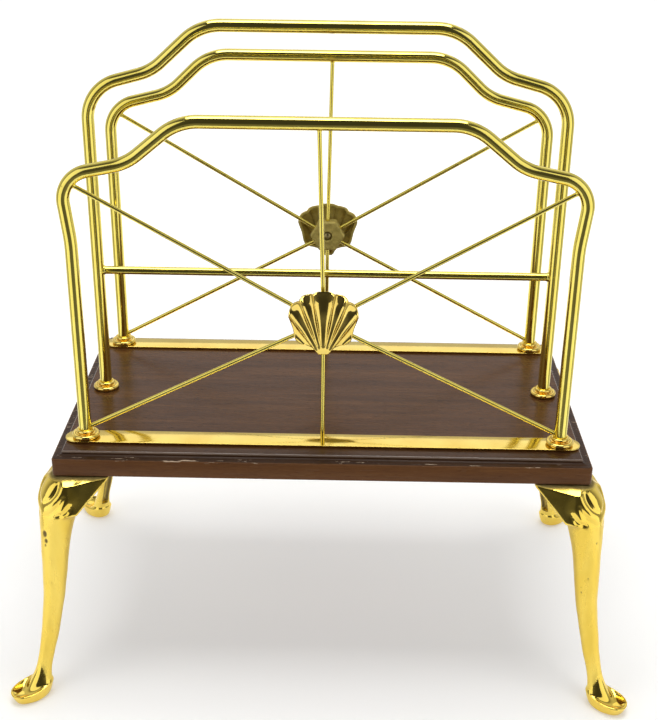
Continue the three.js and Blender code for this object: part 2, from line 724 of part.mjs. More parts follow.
for (const [name, frame] of Object.entries(FRAMES)) {
  const { points, shoulderMiddle } = halfOutline(frame, seatHeight(name !== 'middle'));
  const tube = tubeGeometry([...points, ...points.map(mirrored).reverse()]);
  if (name === 'middle') {
    const right = framePoint([UPRIGHT_X, CROSS_BAR_HEIGHT], frame.y);
    const centre = framePoint([0, CROSS_BAR_HEIGHT], frame.y);
    const targets = [right, mirrored(right)];
    const holes = targets.map((target) => rodHole(centre, target, CROSS_BAR_DIAMETER));
    const [start, end] = targets.map((target) => rodEnd(centre, target));
    add('middle_frame', cut(tube, holes), materials.brass);
    add('middle_cross_bar', rod(start, end, CROSS_BAR_DIAMETER), materials.brass);
    continue;
  }
  const hub = framePoint([0, frame.hubHeight], frame.y);
  const targets = spokeTargets(frame, shoulderMiddle);
  const holes = [];
  for (const [place, target] of Object.entries(targets)) {
    const [start, end] = spokeEnds(hub, target, place);
    add(`${name}_spoke_${place}`, rod(start, end, SPOKE_DIAMETER, SMALL_ROUND), materials.brass);
    if (place !== 'bottom') {
      holes.push(rodHole(hub, target, SPOKE_DIAMETER));
    }
  }
  add(`${name}_frame`, cut(tube, holes), materials.brass);

  // The shell faces away from the bays, the hub and its screw face into them.
  const facing = Math.sign(frame.y);
  add(`${name}_hub`, hubGeometry(hub, targets, facing), materials.dullBrass);
  const face = new THREE.Euler(facing < 0 ? Math.PI / 2 : -Math.PI / 2, 0, facing < 0 ? 0 : Math.PI);
  const turn = new THREE.Quaternion().setFromEuler(face);
  const shellBack = frame.y + facing * (HUB_THICKNESS / 2 + GAP);
  const headSeat = frame.y - facing * (HUB_THICKNESS / 2 - HUB_SCREW_HEAD_HEIGHT - GAP);
  add(`${name}_shell`, shell.clone().applyQuaternion(turn), materials.brass, 0, shellBack, hub.z);
  add(`${name}_hub_screw`, hubScrew.clone().applyQuaternion(turn), materials.steel, 0, headSeat, hub.z);
}

const leg = legGeometry();
const legScrew = screwGeometry(
  LEG_SCREW_DIAMETER,
  LEG_SCREW_REACH + WING_SCREW_SEAT + GAP,
  LEG_SCREW_HEAD,
  LEG_SCREW_HEAD_HEIGHT,
  SMALL_ROUND,
);
for (const corner of corners) {
  const { name, x, y, turn } = corner;
  add(`${name}_leg`, leg, materials.castBrass, x, y, BOARD_BOTTOM - GAP, turn);
  legScrewPlaces(corner).forEach((place, index) => {
    const head = BOARD_BOTTOM - GAP - WING_SCREW_SEAT - GAP;
    add(`${name}_leg_screw_${index + 1}`, legScrew, materials.steel, place.x, place.y, head);
  });
}

const washer = washerGeometry();
for (const { name, x, y, onStrip } of frameFeet) {
  const washerBottom = BOARD_BOTTOM + COUNTERBORE_DEPTH - GAP - WASHER_THICKNESS;
  const head = washerBottom - GAP;
  const reach = seatHeight(onStrip) + FRAME_SCREW_REACH - head;
  const screw = screwGeometry(
    FRAME_SCREW_DIAMETER,
    reach,
    FRAME_SCREW_HEAD,
    FRAME_SCREW_HEAD_HEIGHT,
    SMALL_ROUND,
  );
  add(`${name}_washer`, washer, materials.steel, x, y, washerBottom);
  add(`${name}_frame_screw`, screw, materials.steel, x, y, head);
}

export default rack;
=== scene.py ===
import math

import bpy
import numpy as np
from mathutils import Matrix, Vector


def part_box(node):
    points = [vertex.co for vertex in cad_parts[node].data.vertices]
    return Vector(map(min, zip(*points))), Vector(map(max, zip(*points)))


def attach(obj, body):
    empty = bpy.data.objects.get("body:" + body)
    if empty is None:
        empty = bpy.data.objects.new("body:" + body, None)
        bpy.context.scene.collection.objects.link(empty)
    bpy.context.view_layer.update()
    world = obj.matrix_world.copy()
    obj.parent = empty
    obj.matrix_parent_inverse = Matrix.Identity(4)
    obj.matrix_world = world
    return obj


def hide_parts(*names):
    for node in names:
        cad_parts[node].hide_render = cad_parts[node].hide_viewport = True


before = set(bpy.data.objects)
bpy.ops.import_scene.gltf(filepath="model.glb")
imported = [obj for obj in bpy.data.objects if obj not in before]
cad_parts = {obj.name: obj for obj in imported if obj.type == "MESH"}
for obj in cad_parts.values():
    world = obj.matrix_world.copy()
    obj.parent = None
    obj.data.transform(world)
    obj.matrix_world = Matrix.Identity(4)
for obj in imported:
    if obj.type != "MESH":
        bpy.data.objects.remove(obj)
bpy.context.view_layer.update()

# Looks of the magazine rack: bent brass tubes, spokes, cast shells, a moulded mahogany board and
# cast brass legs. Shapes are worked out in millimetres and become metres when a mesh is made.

MM = 0.001


def box_mm(node):
    """The lowest and highest corners of a CAD node, in millimetres."""
    low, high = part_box(node)
    return np.array(low) / MM, np.array(high) / MM


def middle_mm(node):
    low, high = box_mm(node)
    return (low + high) / 2


BOARD_LOW, BOARD_HIGH = box_mm("base_board")
BOARD_TOP = BOARD_HIGH[2]

# -------- camera

CAMERA_PLACE = (0.01172, -0.91727, 0.65548)
# Yaw to the right, pitch down and roll, in radians.
CAMERA_YAW = -0.009
CAMERA_PITCH = 0.432
CAMERA_ROLL = 0.013
CAMERA_LENS = 62.1
SENSOR_WIDTH = 36


def make_camera():
    yaw = Matrix.Rotation(-CAMERA_YAW, 4, "Z")
    pitch = Matrix.Rotation(math.pi / 2 - CAMERA_PITCH, 4, "X")
    turn = yaw @ pitch @ Matrix.Rotation(CAMERA_ROLL, 4, "Z")
    data = bpy.data.cameras.new("camera")
    data.lens = CAMERA_LENS
    data.sensor_width = SENSOR_WIDTH
    camera = bpy.data.objects.new("camera", data)
    camera.matrix_world = Matrix.Translation(CAMERA_PLACE) @ turn
    bpy.context.scene.collection.objects.link(camera)
    bpy.context.scene.camera = camera


# -------- light and floor


def make_area_light(name, place, target, width, height, radiance):
    data = bpy.data.lights.new(name, "AREA")
    data.shape = "RECTANGLE"
    data.size = width
    data.size_y = height
    data.energy = radiance * math.pi * width * height
    light = bpy.data.objects.new(name, data)
    aim = Vector(target) - Vector(place)
    light.matrix_world = Matrix.Translation(place) @ aim.to_track_quat("-Z", "Y").to_matrix().to_4x4()
    light.visible_camera = False
    bpy.context.scene.collection.objects.link(light)


def make_lights():
    """A softbox overhead, a pale ceiling behind it, and a tall panel on each side of the front."""
    make_area_light("overhead", (0, -0.07, 1.7), (0, -0.03, 0.1), width=1.1, height=0.8, radiance=5.0)
    make_area_light("rear_ceiling", (0, 2.6, 1.9), (0, 2.4, 0), width=2.4, height=2.6, radiance=0.6)
    for name, x in (("front_left", -1), ("front_right", 1)):
        make_area_light(name, (x, -0.80, 0.45), (0, 0, 0.45), width=1.05, height=2.6, radiance=1.0)


def make_world():
    """A room that is dark in front, dim at the sides and pale behind, and white to the camera."""
    world = bpy.data.worlds.new("studio")
    bpy.context.scene.world = world
    world.use_nodes = True
    tree = world.node_tree
    tree.nodes.clear()
    white = add_node(tree, "ShaderNodeBackground", {"Color": (1, 1, 1, 1)})
    direction = add_node(tree, "ShaderNodeTexCoord").outputs["Generated"]
    parts = add_node(tree, "ShaderNodeSeparateXYZ", {"Vector": direction})
    back = remap(tree, parts.outputs["Y"], -0.25, 0.55, 0.06, 0.75, interpolation_type="SMOOTHSTEP")
    low = remap(tree, parts.outputs["Z"], -0.1, -0.45, 0, 0.17)
    sides = calculate(tree, "POWER", parts.outputs["X"], 2.0)
    strength = calculate(tree, "MULTIPLY_ADD", sides, 0.3, calculate(tree, "ADD", back, low))
    room = add_node(tree, "ShaderNodeBackground", {"Strength": strength})
    seen = add_node(tree, "ShaderNodeLightPath").outputs["Is Camera Ray"]
    mix = add_node(tree, "ShaderNodeMixShader", {0: seen, 1: room.outputs[0], 2: white.outputs[0]})
    output = add_node(tree, "ShaderNodeOutputWorld")
    tree.links.new(mix.outputs[0], output.inputs["Surface"])


# -------- materials


def set_inputs(tree, node, inputs):
    """Links each socket to the node's input of that name, and sets each plain value on it."""
    for key, value in inputs.items():
        if isinstance(value, bpy.types.NodeSocket):
            tree.links.new(value, node.inputs[key])
        else:
            node.inputs[key].default_value = value


def add_node(tree, kind, inputs=None, **settings):
    """A new node with its settings, its input values and its incoming links."""
    node = tree.nodes.new(kind)
    for key, value in settings.items():
        setattr(node, key, value)
    set_inputs(tree, node, inputs or {})
    return node


def calculate(tree, operation, *values):
    return add_node(tree, "ShaderNodeMath", dict(enumerate(values)), operation=operation).outputs[0]


def new_material(name, metallic=0.0):
    material = bpy.data.materials.new(name)
    material.use_nodes = True
    tree = material.node_tree
    shader = tree.nodes["Principled BSDF"]
    set_inputs(tree, shader, {"Metallic": metallic})
    return material, tree, shader


def stretched(tree, scale=(1, 1, 1)):
    """Object coordinates in metres, scaled along each axis."""
    place = add_node(tree, "ShaderNodeTexCoord").outputs["Object"]
    mapping = add_node(tree, "ShaderNodeMapping", {"Vector": place, "Scale": scale})
    return mapping.outputs["Vector"]


def noise(tree, vector, scale, detail, roughness=0.5):
    values = {"Vector": vector, "Scale": scale, "Detail": detail, "Roughness": roughness}
    return add_node(tree, "ShaderNodeTexNoise", values).outputs["Fac"]


def remap(tree, value, low, high, to_low, to_high, **settings):
    values = {"Value": value, "From Min": low, "From Max": high, "To Min": to_low, "To Max": to_high}
    return add_node(tree, "ShaderNodeMapRange", values, **settings).outputs["Result"]


def mix_colour(tree, factor, first, second):
    """A mix of two colours; a Mix node holds its colour sockets at these places."""
    return add_node(tree, "ShaderNodeMix", {0: factor, 6: first, 7: second}, data_type="RGBA").outputs[2]


def add_bump(tree, shader, height, strength, distance, normal=None):
    values = {"Height": height, "Strength": strength, "Distance": distance}
    if normal is not None:
        values["Normal"] = normal
    bump = add_node(tree, "ShaderNodeBump", values).outputs["Normal"]
    set_inputs(tree, shader, {"Normal": bump})
    return bump


# Each alloy drifts between two colours.
CAST_BRASS = ((0.88, 0.67, 0.17, 1), (0.81, 0.58, 0.13, 1))
DRAWN_BRASS = ((0.85, 0.72, 0.17, 1), (0.80, 0.66, 0.13, 1))
TARNISH = (0.3, 0.21, 0.05, 1)


def brass_material(name, colours, smoothness=(0.05, 0.13), waviness=0.0, wiping=0.05):
    """Polished brass: slight colour drift, fine wipe marks and small tarnish specks."""
    material, tree, shader = new_material(name, metallic=1.0)
    even = stretched(tree)
    drift = remap(tree, noise(tree, even, 45, 4), 0.35, 0.65, 0, 1)
    colour = mix_colour(tree, drift, *colours)
    speck = remap(tree, noise(tree, even, 420, 2), 0.7, 0.78, 0, 0.5)
    colour = mix_colour(tree, speck, colour, TARNISH)
    haze = remap(tree, noise(tree, even, 130, 5, 0.6), 0.3, 0.7, *smoothness)
    set_inputs(tree, shader, {"Base Color": colour, "Roughness": haze})
    wipes = noise(tree, stretched(tree, (1, 1, 0.12)), 1500, 2)
    normal = add_bump(tree, shader, wipes, wiping, 0.0002)
    if waviness:
        add_bump(tree, shader, noise(tree, even, 90, 2), waviness, 0.001, normal)
    return material


def rough_brass_material():
    """Unpolished sand-cast brass: olive and brown, grainy and dull."""
    material, tree, shader = new_material("sand_cast_brass", metallic=0.35)
    even = stretched(tree)
    drift = remap(tree, noise(tree, even, 160, 5, 0.7), 0.3, 0.7, 0, 1)
    colour = mix_colour(tree, drift, (0.58, 0.47, 0.13, 1), (0.34, 0.27, 0.065, 1))
    haze = remap(tree, noise(tree, even, 700, 3), 0.3, 0.7, 0.45, 0.7)
    set_inputs(tree, shader, {"Base Color": colour, "Roughness": haze})
    add_bump(tree, shader, noise(tree, even, 1400, 4, 0.7), 0.55, 0.0006)
    return material


def leg_material():
    """Cast brass: mirror-polished knee and foot, satin shaft, and a raw hollow inner side."""
    material, tree, shader = new_material("leg_brass", metallic=1.0)
    even = stretched(tree)
    polish = add_node(tree, "ShaderNodeAttribute", attribute_name="polish").outputs["Fac"]
    raw = add_node(tree, "ShaderNodeAttribute", attribute_name="raw").outputs["Fac"]
    drift = remap(tree, noise(tree, stretched(tree, (1, 1, 0.3)), 60, 4), 0.35, 0.65, 0, 1)
    colour = mix_colour(tree, drift, (0.92, 0.69, 0.14, 1), (0.86, 0.61, 0.095, 1))
    stain = remap(tree, noise(tree, even, 330, 3, 0.6), 0.68, 0.8, 0, 0.6)
    colour = mix_colour(tree, stain, colour, TARNISH)
    rough_colour = mix_colour(tree, noise(tree, even, 300, 4), (0.34, 0.27, 0.10, 1), (0.16, 0.11, 0.04, 1))
    colour = mix_colour(tree, raw, colour, rough_colour)
    satin = remap(tree, noise(tree, stretched(tree, (1, 1, 0.2)), 200, 4), 0.3, 0.7, 0.24, 0.36)
    mirror = remap(tree, noise(tree, even, 130, 4), 0.3, 0.7, 0.05, 0.12)
    finish = mix_colour(tree, polish, satin, mirror)
    finish = mix_colour(tree, raw, finish, (0.6, 0.6, 0.6, 1))
    set_inputs(tree, shader, {"Base Color": colour, "Roughness": finish})
    normal = add_bump(tree, shader, noise(tree, even, 70, 2), 0.22, 0.001)
    graininess = remap(tree, raw, 0, 1, 0.06, 0.6)
    add_bump(tree, shader, noise(tree, even, 1100, 4, 0.65), graininess, 0.0004, normal)
    return material


def wood_material():
    """Mahogany: ribbon figure and open pores along X, planks glued side by side, worn arrises."""
    material, tree, shader = new_material("mahogany")
    place = add_node(tree, "ShaderNodeTexCoord").outputs["Object"]
    parts = add_node(tree, "ShaderNodeSeparateXYZ", {"Vector": place})
    plank_number = calculate(tree, "FLOOR", remap(tree, parts.outputs["Y"], 0, PLANK_WIDTH * MM, 0, 1))
    plank = add_node(tree, "ShaderNodeTexWhiteNoise", {"W": plank_number}, noise_dimensions="1D")
    ribbon = noise(tree, stretched(tree, (2.2, 30, 30)), 3.2, 6, 0.62)
    fine = noise(tree, stretched(tree, (14, 420, 420)), 3, 4, 0.6)
    figure = mix_colour(tree, 0.45, ribbon, fine)
    tone = remap(tree, figure, 0.33, 0.67, 0, 1)
    colour = mix_colour(tree, tone, (0.040, 0.015, 0.005, 1), (0.145, 0.062, 0.018, 1))
    plank_tone = remap(tree, plank.outputs["Value"], 0, 1, 0, 0.35)
    colour = mix_colour(tree, plank_tone, colour, (0.085, 0.032, 0.013, 1))
    pores = remap(tree, noise(tree, stretched(tree, (60, 1500, 1500)), 2.2, 2), 0.60, 0.68, 0, 1)
    colour = mix_colour(tree, pores, colour, (0.012, 0.005, 0.003, 1))

    def height_band(drop, half_height):
        """One within a band of the board's side, given by its depth below the top."""
        return calculate(tree, "COMPARE", parts.outputs["Z"], (BOARD_TOP - drop) * MM, half_height * MM)

    def product(first, second):
        return calculate(tree, "MULTIPLY", first, second)

    side = height_band(MOULDING_DROP + 20, 20)
    cove_painted_shade = height_band(MOULDING_DROP - 1.35, 1.2)
    lip_painted_highlight = height_band(0.8, 0.75)
    # Painted light: below the arris the board's sides are painted lighter and redder, for the light that the
    # front faces catch.
    colour = mix_colour(tree, product(side, 0.25), colour, (0.27, 0.115, 0.045, 1))
    # Painted shade: the cove band of the moulding is painted almost black.
    colour = mix_colour(tree, product(cove_painted_shade, 0.7), colour, (0.02, 0.008, 0.003, 1))
    # Painted highlight: the lip band is painted pale, and its specular level is raised further down.
    colour = mix_colour(tree, product(lip_painted_highlight, 0.4), colour, (0.34, 0.26, 0.20, 1))
    # The narrow land outside the front strip is painted darker, a painted dark reflection of the dark room
    # in front, and so is the back's.
    strip_edge = -box_mm("front_strip")[0][1]
    outer = calculate(tree, "ABSOLUTE", parts.outputs["Y"])
    outer = remap(tree, outer, (strip_edge - 1.5) * MM, strip_edge * MM, 0, 0.5)
    outer = product(outer, height_band(0, 0.4))
    colour = mix_colour(tree, outer, colour, (0.03, 0.012, 0.005, 1))
    # Small pale chips along the arris below the cove, most of them on the left.
    worn = remap(tree, parts.outputs["X"], -0.03, -0.09, 0, 0.045)
    chips = noise(tree, stretched(tree, (34, 300, 300)), 1.6, 5, 0.7)
    chips = remap(tree, calculate(tree, "ADD", chips, worn), 0.645, 0.67, 0, 1)
    chips = product(chips, height_band(MOULDING_DROP + 0.2, 0.9))
    colour = mix_colour(tree, chips, colour, (0.50, 0.38, 0.27, 1))
    sheen = remap(tree, noise(tree, stretched(tree, (8, 60, 60)), 4, 4), 0.3, 0.7, 0.2, 0.3)
    specular = remap(tree, lip_painted_highlight, 0, 1, 0.13, 0.8)
    values = {"Base Color": colour, "Roughness": sheen, "Specular IOR Level": specular}
    set_inputs(tree, shader, values)
    add_bump(tree, shader, mix_colour(tree, 0.6, fine, pores), 0.10, 0.0004)
    return material


def steel_material(name, bright, dull):
    material, tree, shader = new_material(name, metallic=1.0)
    even = stretched(tree)
    colour = mix_colour(tree, noise(tree, even, 500, 4), bright, dull)
    haze = remap(tree, noise(tree, even, 900, 3), 0.3, 0.7, 0.25, 0.45)
    set_inputs(tree, shader, {"Base Color": colour, "Roughness": haze})
    add_bump(tree, shader, noise(tree, even, 2500, 2), 0.15, 0.0002)
    return material


def floor_material():
    """A pale matt floor with a faint glow that grows away from the object."""
    material, tree, shader = new_material("pale_floor")
    place = stretched(tree)
    colour = mix_colour(tree, noise(tree, place, 3, 4), (0.84, 0.84, 0.83, 1), (0.88, 0.88, 0.87, 1))
    away = add_node(tree, "ShaderNodeVectorMath", {0: place}, operation="LENGTH").outputs["Value"]
    glow = remap(tree, away, 0.3, 1.1, 0.27, 0.6)
    set_inputs(tree, shader, {"Base Color": colour, "Roughness": 0.6, "Specular IOR Level": 0.2})
    set_inputs(tree, shader, {"Emission Color": (1, 1, 0.99, 1), "Emission Strength": glow})
    return material


# -------- meshes


def new_object(name, points, faces):
    """A mesh object, given in millimetres."""
    mesh = bpy.data.meshes.new(name)
    mesh.from_pydata((np.asarray(points) * MM).tolist(), [], [list(map(int, f)) for f in faces])
    piece = bpy.data.objects.new(name, mesh)
    bpy.context.scene.collection.objects.link(piece)
    return piece


def add_piece(name, points, faces, material, node, sharp=35, attributes=None):
    """A mesh object that stands for one CAD node."""
    piece = new_object(name, points, faces)
    mesh = piece.data
    mesh.validate()
    mesh.shade_smooth()
    if sharp:
        mesh.set_sharp_from_angle(angle=math.radians(sharp))
    for key, values in (attributes or {}).items():
        layer = mesh.attributes.new(key, "FLOAT", "POINT")
        layer.data.foreach_set("value", np.asarray(values, np.float32))
    mesh.materials.append(material)
    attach(piece, "root")
    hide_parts(node)
    return piece


def ring_faces(rings, sides, joined=False):
    """Quads between successive rings of points, with a cap on each end or the ends joined."""
    faces = []
    for ring in range(rings if joined else rings - 1):
        a, b = ring * sides, ((ring + 1) % rings) * sides
        for side in range(sides):
            after = (side + 1) % sides
            faces.append((a + side, a + after, b + after, b + side))
    if not joined:
        faces.append(tuple(range(sides - 1, -1, -1)))
        last = (rings - 1) * sides
        faces.append(tuple(last + side for side in range(sides)))
    return faces


def turned(profile, origin, axis, sides, joined=False):
    """A profile of (radius, distance along the axis) pairs, revolved about the axis."""
    axis = Vector(axis).normalized()
    across = axis.orthogonal().normalized()
    other = axis.cross(across)
    angles = np.linspace(0, 2 * math.pi, sides, endpoint=False)
    circle = np.outer(np.cos(angles), across) + np.outer(np.sin(angles), other)
    points = [np.array(origin) + radius * circle + distance * np.array(axis) for radius, distance in profile]
    return np.concatenate(points), ring_faces(len(profile), sides, joined=joined)


def arc(centre, radius, start, end, steps):
    """Points along an arc in a plane; angles in degrees."""
    angles = np.radians(np.linspace(start, end, steps + 1))
    return [(centre[0] + radius * math.cos(a), centre[1] + radius * math.sin(a)) for a in angles]


def smoothstep(value, low, high):
    t = np.clip((value - low) / (high - low), 0, 1)
    return t * t * (3 - 2 * t)


def smooth_max(a, b, blend):
    h = np.clip(0.5 + 0.5 * (a - b) / blend, 0, 1)
    return b + (a - b) * h + blend * h * (1 - h)


def smooth_min(a, b, blend):
    return -smooth_max(-a, -b, blend)


def gradient(field, points, step=0.05):
    slopes = [field(points + step * axis) - field(points - step * axis) for axis in np.eye(3)]
    return np.stack(slopes, -1) / (2 * step)


def surface_net(field, low, high, step):
    """A closed quad mesh of the surface where field is zero, its points settled onto it."""
    low = np.array(low, float)
    shape = np.ceil((np.array(high) - low) / step).astype(int) + 1
    lines = [low[axis] + step * np.arange(shape[axis]) for axis in range(3)]
    values = np.empty(shape)
    flat = np.stack(np.meshgrid(lines[1], lines[2], indexing="ij"), -1).reshape(-1, 2)
    for index, x in enumerate(lines[0]):
        layer = np.column_stack([np.full(len(flat), x), flat])
        values[index] = field(layer).reshape(shape[1:])
    inside = values < 0
    corners = [np.array(c) for c in np.ndindex(2, 2, 2)]
    octants = [tuple(slice(c, n - 1 + c) for c, n in zip(corner, shape)) for corner in corners]
    count = sum(inside[octant].astype(int) for octant in octants)
    cells = np.argwhere((count > 0) & (count < 8))
    number = np.full(shape - 1, -1)
    number[tuple(cells.T)] = np.arange(len(cells))
    total = np.zeros((len(cells), 3))
    crossings = np.zeros(len(cells))
    for corner in corners:
        for axis in np.flatnonzero(corner == 0):
            along = np.eye(3, dtype=int)[axis]
            here = values[tuple((cells + corner).T)]
            there = values[tuple((cells + corner + along).T)]
            crossed = (here < 0) != (there < 0)
            share = here[crossed] / (here[crossed] - there[crossed])
            total[crossed] += (cells + corner)[crossed] + share[:, None] * along
            crossings[crossed] += 1
    points = low + step * total / crossings[:, None]
    faces = []
    for axis in range(3):
        along, b, c = np.roll(np.eye(3, dtype=int), -axis, 0)
        first, second = (
            inside[tuple(slice(1 - c * (1 - move), n - 1 + c * move) for n, c in zip(shape, along))]
            for move in (0, 1)
        )
        for rising in (True, False):
            changed = (first & ~second) if rising else (~first & second)
            edges = np.argwhere(changed) + (1 - along)
            quad = [number[tuple((edges - move).T)] for move in (0 * b, b, b + c, c)]
            faces.append(np.stack(quad if rising else quad[::-1], -1))
    for _ in range(3):
        slope = gradient(field, points)
        move = field(points)[:, None] * slope / np.maximum((slope**2).sum(-1, keepdims=True), 0.04)
        length = np.linalg.norm(move, axis=1, keepdims=True)
        points = points - move * np.minimum(1, 0.5 * step / np.maximum(length, 1e-9))
    return points, np.concatenate(faces)


def ripples(points, size, seed, waves=10):
    """Smooth irregular bumps between about -1 and 1, of that size in millimetres."""
    random = np.random.default_rng(seed)
    total = np.zeros(len(points))
    for _ in range(waves):
        direction = random.normal(size=3)
        direction *= random.uniform(0.7, 1.5) * 2 * math.pi / (size * np.linalg.norm(direction))
        total += np.sin(points @ direction + random.uniform(0, 2 * math.pi))
    return total / math.sqrt(waves)


# -------- tube frames

TUBE_RADIUS = 4.75
TUBE_BORE_RADIUS = 3.15
TUBE_SIDES = 40
BEND_STEP = math.radians(3)

# The bends of each frame's right-hand half from the foot up: the corner before it is rounded,
# as x and the height above the board, and the radius.
FRAME_BENDS = {
    "front": [((180, 158), 120), ((185.3, 205.6), 22), ((137.6, 215.2), 40), ((101, 245.2), 40)],
    "middle": [((180, 247.4), 31), ((130.6, 260.8), 40), ((93.6, 294.5), 40)],
    "back": [((180, 212.8), 26), ((130.1, 225.3), 40), ((97.2, 256.5), 40)],
}
TOP_SPOKE_X = {"front": -4.4, "back": 2.4}
SHOULDER_BEND = {"front": 1, "middle": 0, "back": 0}
UPRIGHT_X = 180


def round_corner(before, corner, after, radius):
    """Points along the arc that rounds a corner, and the middle of that arc."""
    back = (before - corner) / np.linalg.norm(before - corner)
    ahead = (after - corner) / np.linalg.norm(after - corner)
    half = math.acos(np.clip(back @ ahead, -1, 1)) / 2
    inwards = (back + ahead) / np.linalg.norm(back + ahead)
    centre = corner + inwards * radius / math.sin(half)
    start = corner + back * radius / math.tan(half) - centre
    turn = math.pi - 2 * half
    sense = math.copysign(1, start[0] * ahead[1] - start[1] * ahead[0])
    steps = max(3, round(turn / BEND_STEP))
    points = []
    for step in range(steps + 1):
        angle = sense * turn * step / steps
        cosine, sine = math.cos(angle), math.sin(angle)
        points.append(centre + [start[0] * cosine - start[1] * sine, start[0] * sine + start[1] * cosine])
    return points, centre - inwards * radius


def frame_outline(name):
    """The centre line of a frame in its plane, foot to foot, and its right shoulder's middle."""
    foot = box_mm(f"{name}_frame")[0][2]
    bends = [(np.array([x, BOARD_TOP + height]), radius) for (x, height), radius in FRAME_BENDS[name]]
    crest = bends[-1][0]
    stops = [np.array([UPRIGHT_X, foot])] + [corner for corner, _ in bends] + [np.array([0, crest[1]])]
    half = [stops[0]]
    shoulder = None
    for index, (_, radius) in enumerate(bends):
        arc_points, middle = round_corner(*stops[index : index + 3], radius)
        half += arc_points
        if index == SHOULDER_BEND[name]:
            shoulder = middle
    other = [point * [-1, 1] for point in reversed(half)]
    return np.array(half + other), shoulder


def make_tube(name, material):
    """A frame's tube, with its bore; gives the middle of the shoulder that a spoke meets."""
    path, shoulder = frame_outline(name)
    y = middle_mm(f"{name}_frame")[1]
    tangent = np.empty_like(path)
    steps = np.diff(path, axis=0)
    steps /= np.linalg.norm(steps, axis=1, keepdims=True)
    tangent[1:-1] = steps[1:] + steps[:-1]
    tangent[0], tangent[-1] = steps[0], steps[-1]
    tangent /= np.linalg.norm(tangent, axis=1, keepdims=True)
    sideways = np.column_stack([tangent[:, 1], -tangent[:, 0]])
    angles = np.linspace(0, 2 * math.pi, TUBE_SIDES, endpoint=False)
    rings = []
    for radius, order in ((TUBE_RADIUS, 1), (TUBE_BORE_RADIUS, -1)):
        spread = radius * np.cos(angles)
        for index in range(len(path))[::order]:
            x, z = path[index][:, None] + np.outer(sideways[index], spread)
            rings.append(np.column_stack([x, y + radius * np.sin(angles), z]))
    faces = ring_faces(len(rings), TUBE_SIDES, joined=True)
    add_piece(f"{name}_tube", np.concatenate(rings), faces, material, f"{name}_frame", sharp=40)
    return shoulder


# -------- rods, flanges and strips

SPOKE_RADIUS = 1.6
SPOKE_BEAD = 0.35
CROSS_BAR_BEAD = 0.6
ROD_SEAT = 1.3  # how deep a rod's end sits in a tube
# The solder swells towards a tube: distance back from the tube, and share of the full swelling.
SOLDER_RAMP = ((1.9, 0.0), (1.1, 0.2), (0.55, 0.55), (0.1, 1.0))
SPOKE_FOOT_HEIGHT = 8.6
HUB_CORNER_RADIUS = 14.5
HUB_FLAT = HUB_CORNER_RADIUS * math.cos(math.pi / 6)
HUB_HALF_THICKNESS = 5
HUB_SEAT = 4.7  # how deep a spoke's inner end sits in its hub


def solder(radius, meet, bead, stretch):
    """The profile of a rod where it enters a tube at that distance along it."""
    ramp = [(radius + bead * share, meet - back * stretch) for back, share in SOLDER_RAMP]
    return ramp + [(radius + bead, meet + 0.2), (radius, meet + 0.4)]


def make_spoke(name, start, end, material, node, soldered):
    """A straight rod with eased ends, and with a small bead of solder where it meets a tube."""
    length = np.linalg.norm(end - start)
    ease = 0.3 * SPOKE_RADIUS
    profile = [(SPOKE_RADIUS - ease, 0), (SPOKE_RADIUS, ease)]
    if soldered:
        profile += solder(SPOKE_RADIUS, length - ROD_SEAT, SPOKE_BEAD, 2 * SPOKE_BEAD)
    profile += [(SPOKE_RADIUS, length - ease), (SPOKE_RADIUS - ease, length)]
    points, faces = turned(profile, start, end - start, 24)
    add_piece(name, points, faces, material, node)


def make_spokes(name, shoulder, material):
    hub = middle_mm(f"{name}_hub")
    crest = BOARD_TOP + FRAME_BENDS[name][-1][0][1]
    foot = np.array([UPRIGHT_X, hub[1], BOARD_TOP + SPOKE_FOOT_HEIGHT])
    upper = np.array([shoulder[0], hub[1], shoulder[1]])
    mirror = np.array([-1, 1, 1])
    targets = {
        "top": np.array([TOP_SPOKE_X[name], hub[1], crest]),
        "upper_right": upper,
        "lower_right": foot,
        "bottom": np.array([0, hub[1], box_mm(f"{name}_spoke_bottom")[0][2]]),
        "lower_left": foot * mirror,
        "upper_left": upper * mirror,
    }
    for place, target in targets.items():
        along = (target - hub) / np.linalg.norm(target - hub)
        start = hub + along * (HUB_FLAT - HUB_SEAT)
        soldered = place != "bottom"
        end = target + along * (ROD_SEAT - TUBE_RADIUS) if soldered else target
        make_spoke(f"{name}_{place}_rod", start, end, material, f"{name}_spoke_{place}", soldered)


def make_cross_bar(material):
    low, high = box_mm("middle_cross_bar")
    radius = (high[2] - low[2]) / 2
    reach = (high[0] - low[0]) / 2
    half = solder(radius, reach - ROD_SEAT, CROSS_BAR_BEAD, 1) + [(radius, reach)]
    profile = [(r, -distance) for r, distance in reversed(half)] + [(radius, 0)] + half
    points, faces = turned(profile, (low + high) / 2, (1, 0, 0), 32)
    add_piece("cross_bar_rod", points, faces, material, "middle_cross_bar")


def make_flange(foot, material):
    """A turned ring: a full round bead, a groove, and a smaller bead that grips the tube."""
    low, high = box_mm(f"{foot}_flange")
    x, y, _ = (low + high) / 2
    rim = (high[0] - low[0]) / 2
    height = high[2] - low[2]
    bore = TUBE_RADIUS + 0.05
    bead = 1.75
    collar = 1.25
    profile = [(bore, 0), (rim - bead, 0), (rim - bead * 0.5, 0.12)]
    profile += arc((rim - bead, bead + 0.05), bead, -60, 120, 14)
    profile += arc((rim - bead - 1.9, 3.55), 1.1, -35, -165, 7)
    profile += [(bore + collar * 1.35, 3.5)]
    profile += arc((bore + collar * 0.75, height - collar), collar, -20, 165, 12)
    profile += [(bore, height - collar * 0.6)]
    points, faces = turned(profile, (x, y, low[2]), (0, 0, 1), 56, joined=True)
    add_piece(f"{foot}_turned_flange", points, faces, material, f"{foot}_flange", sharp=50)


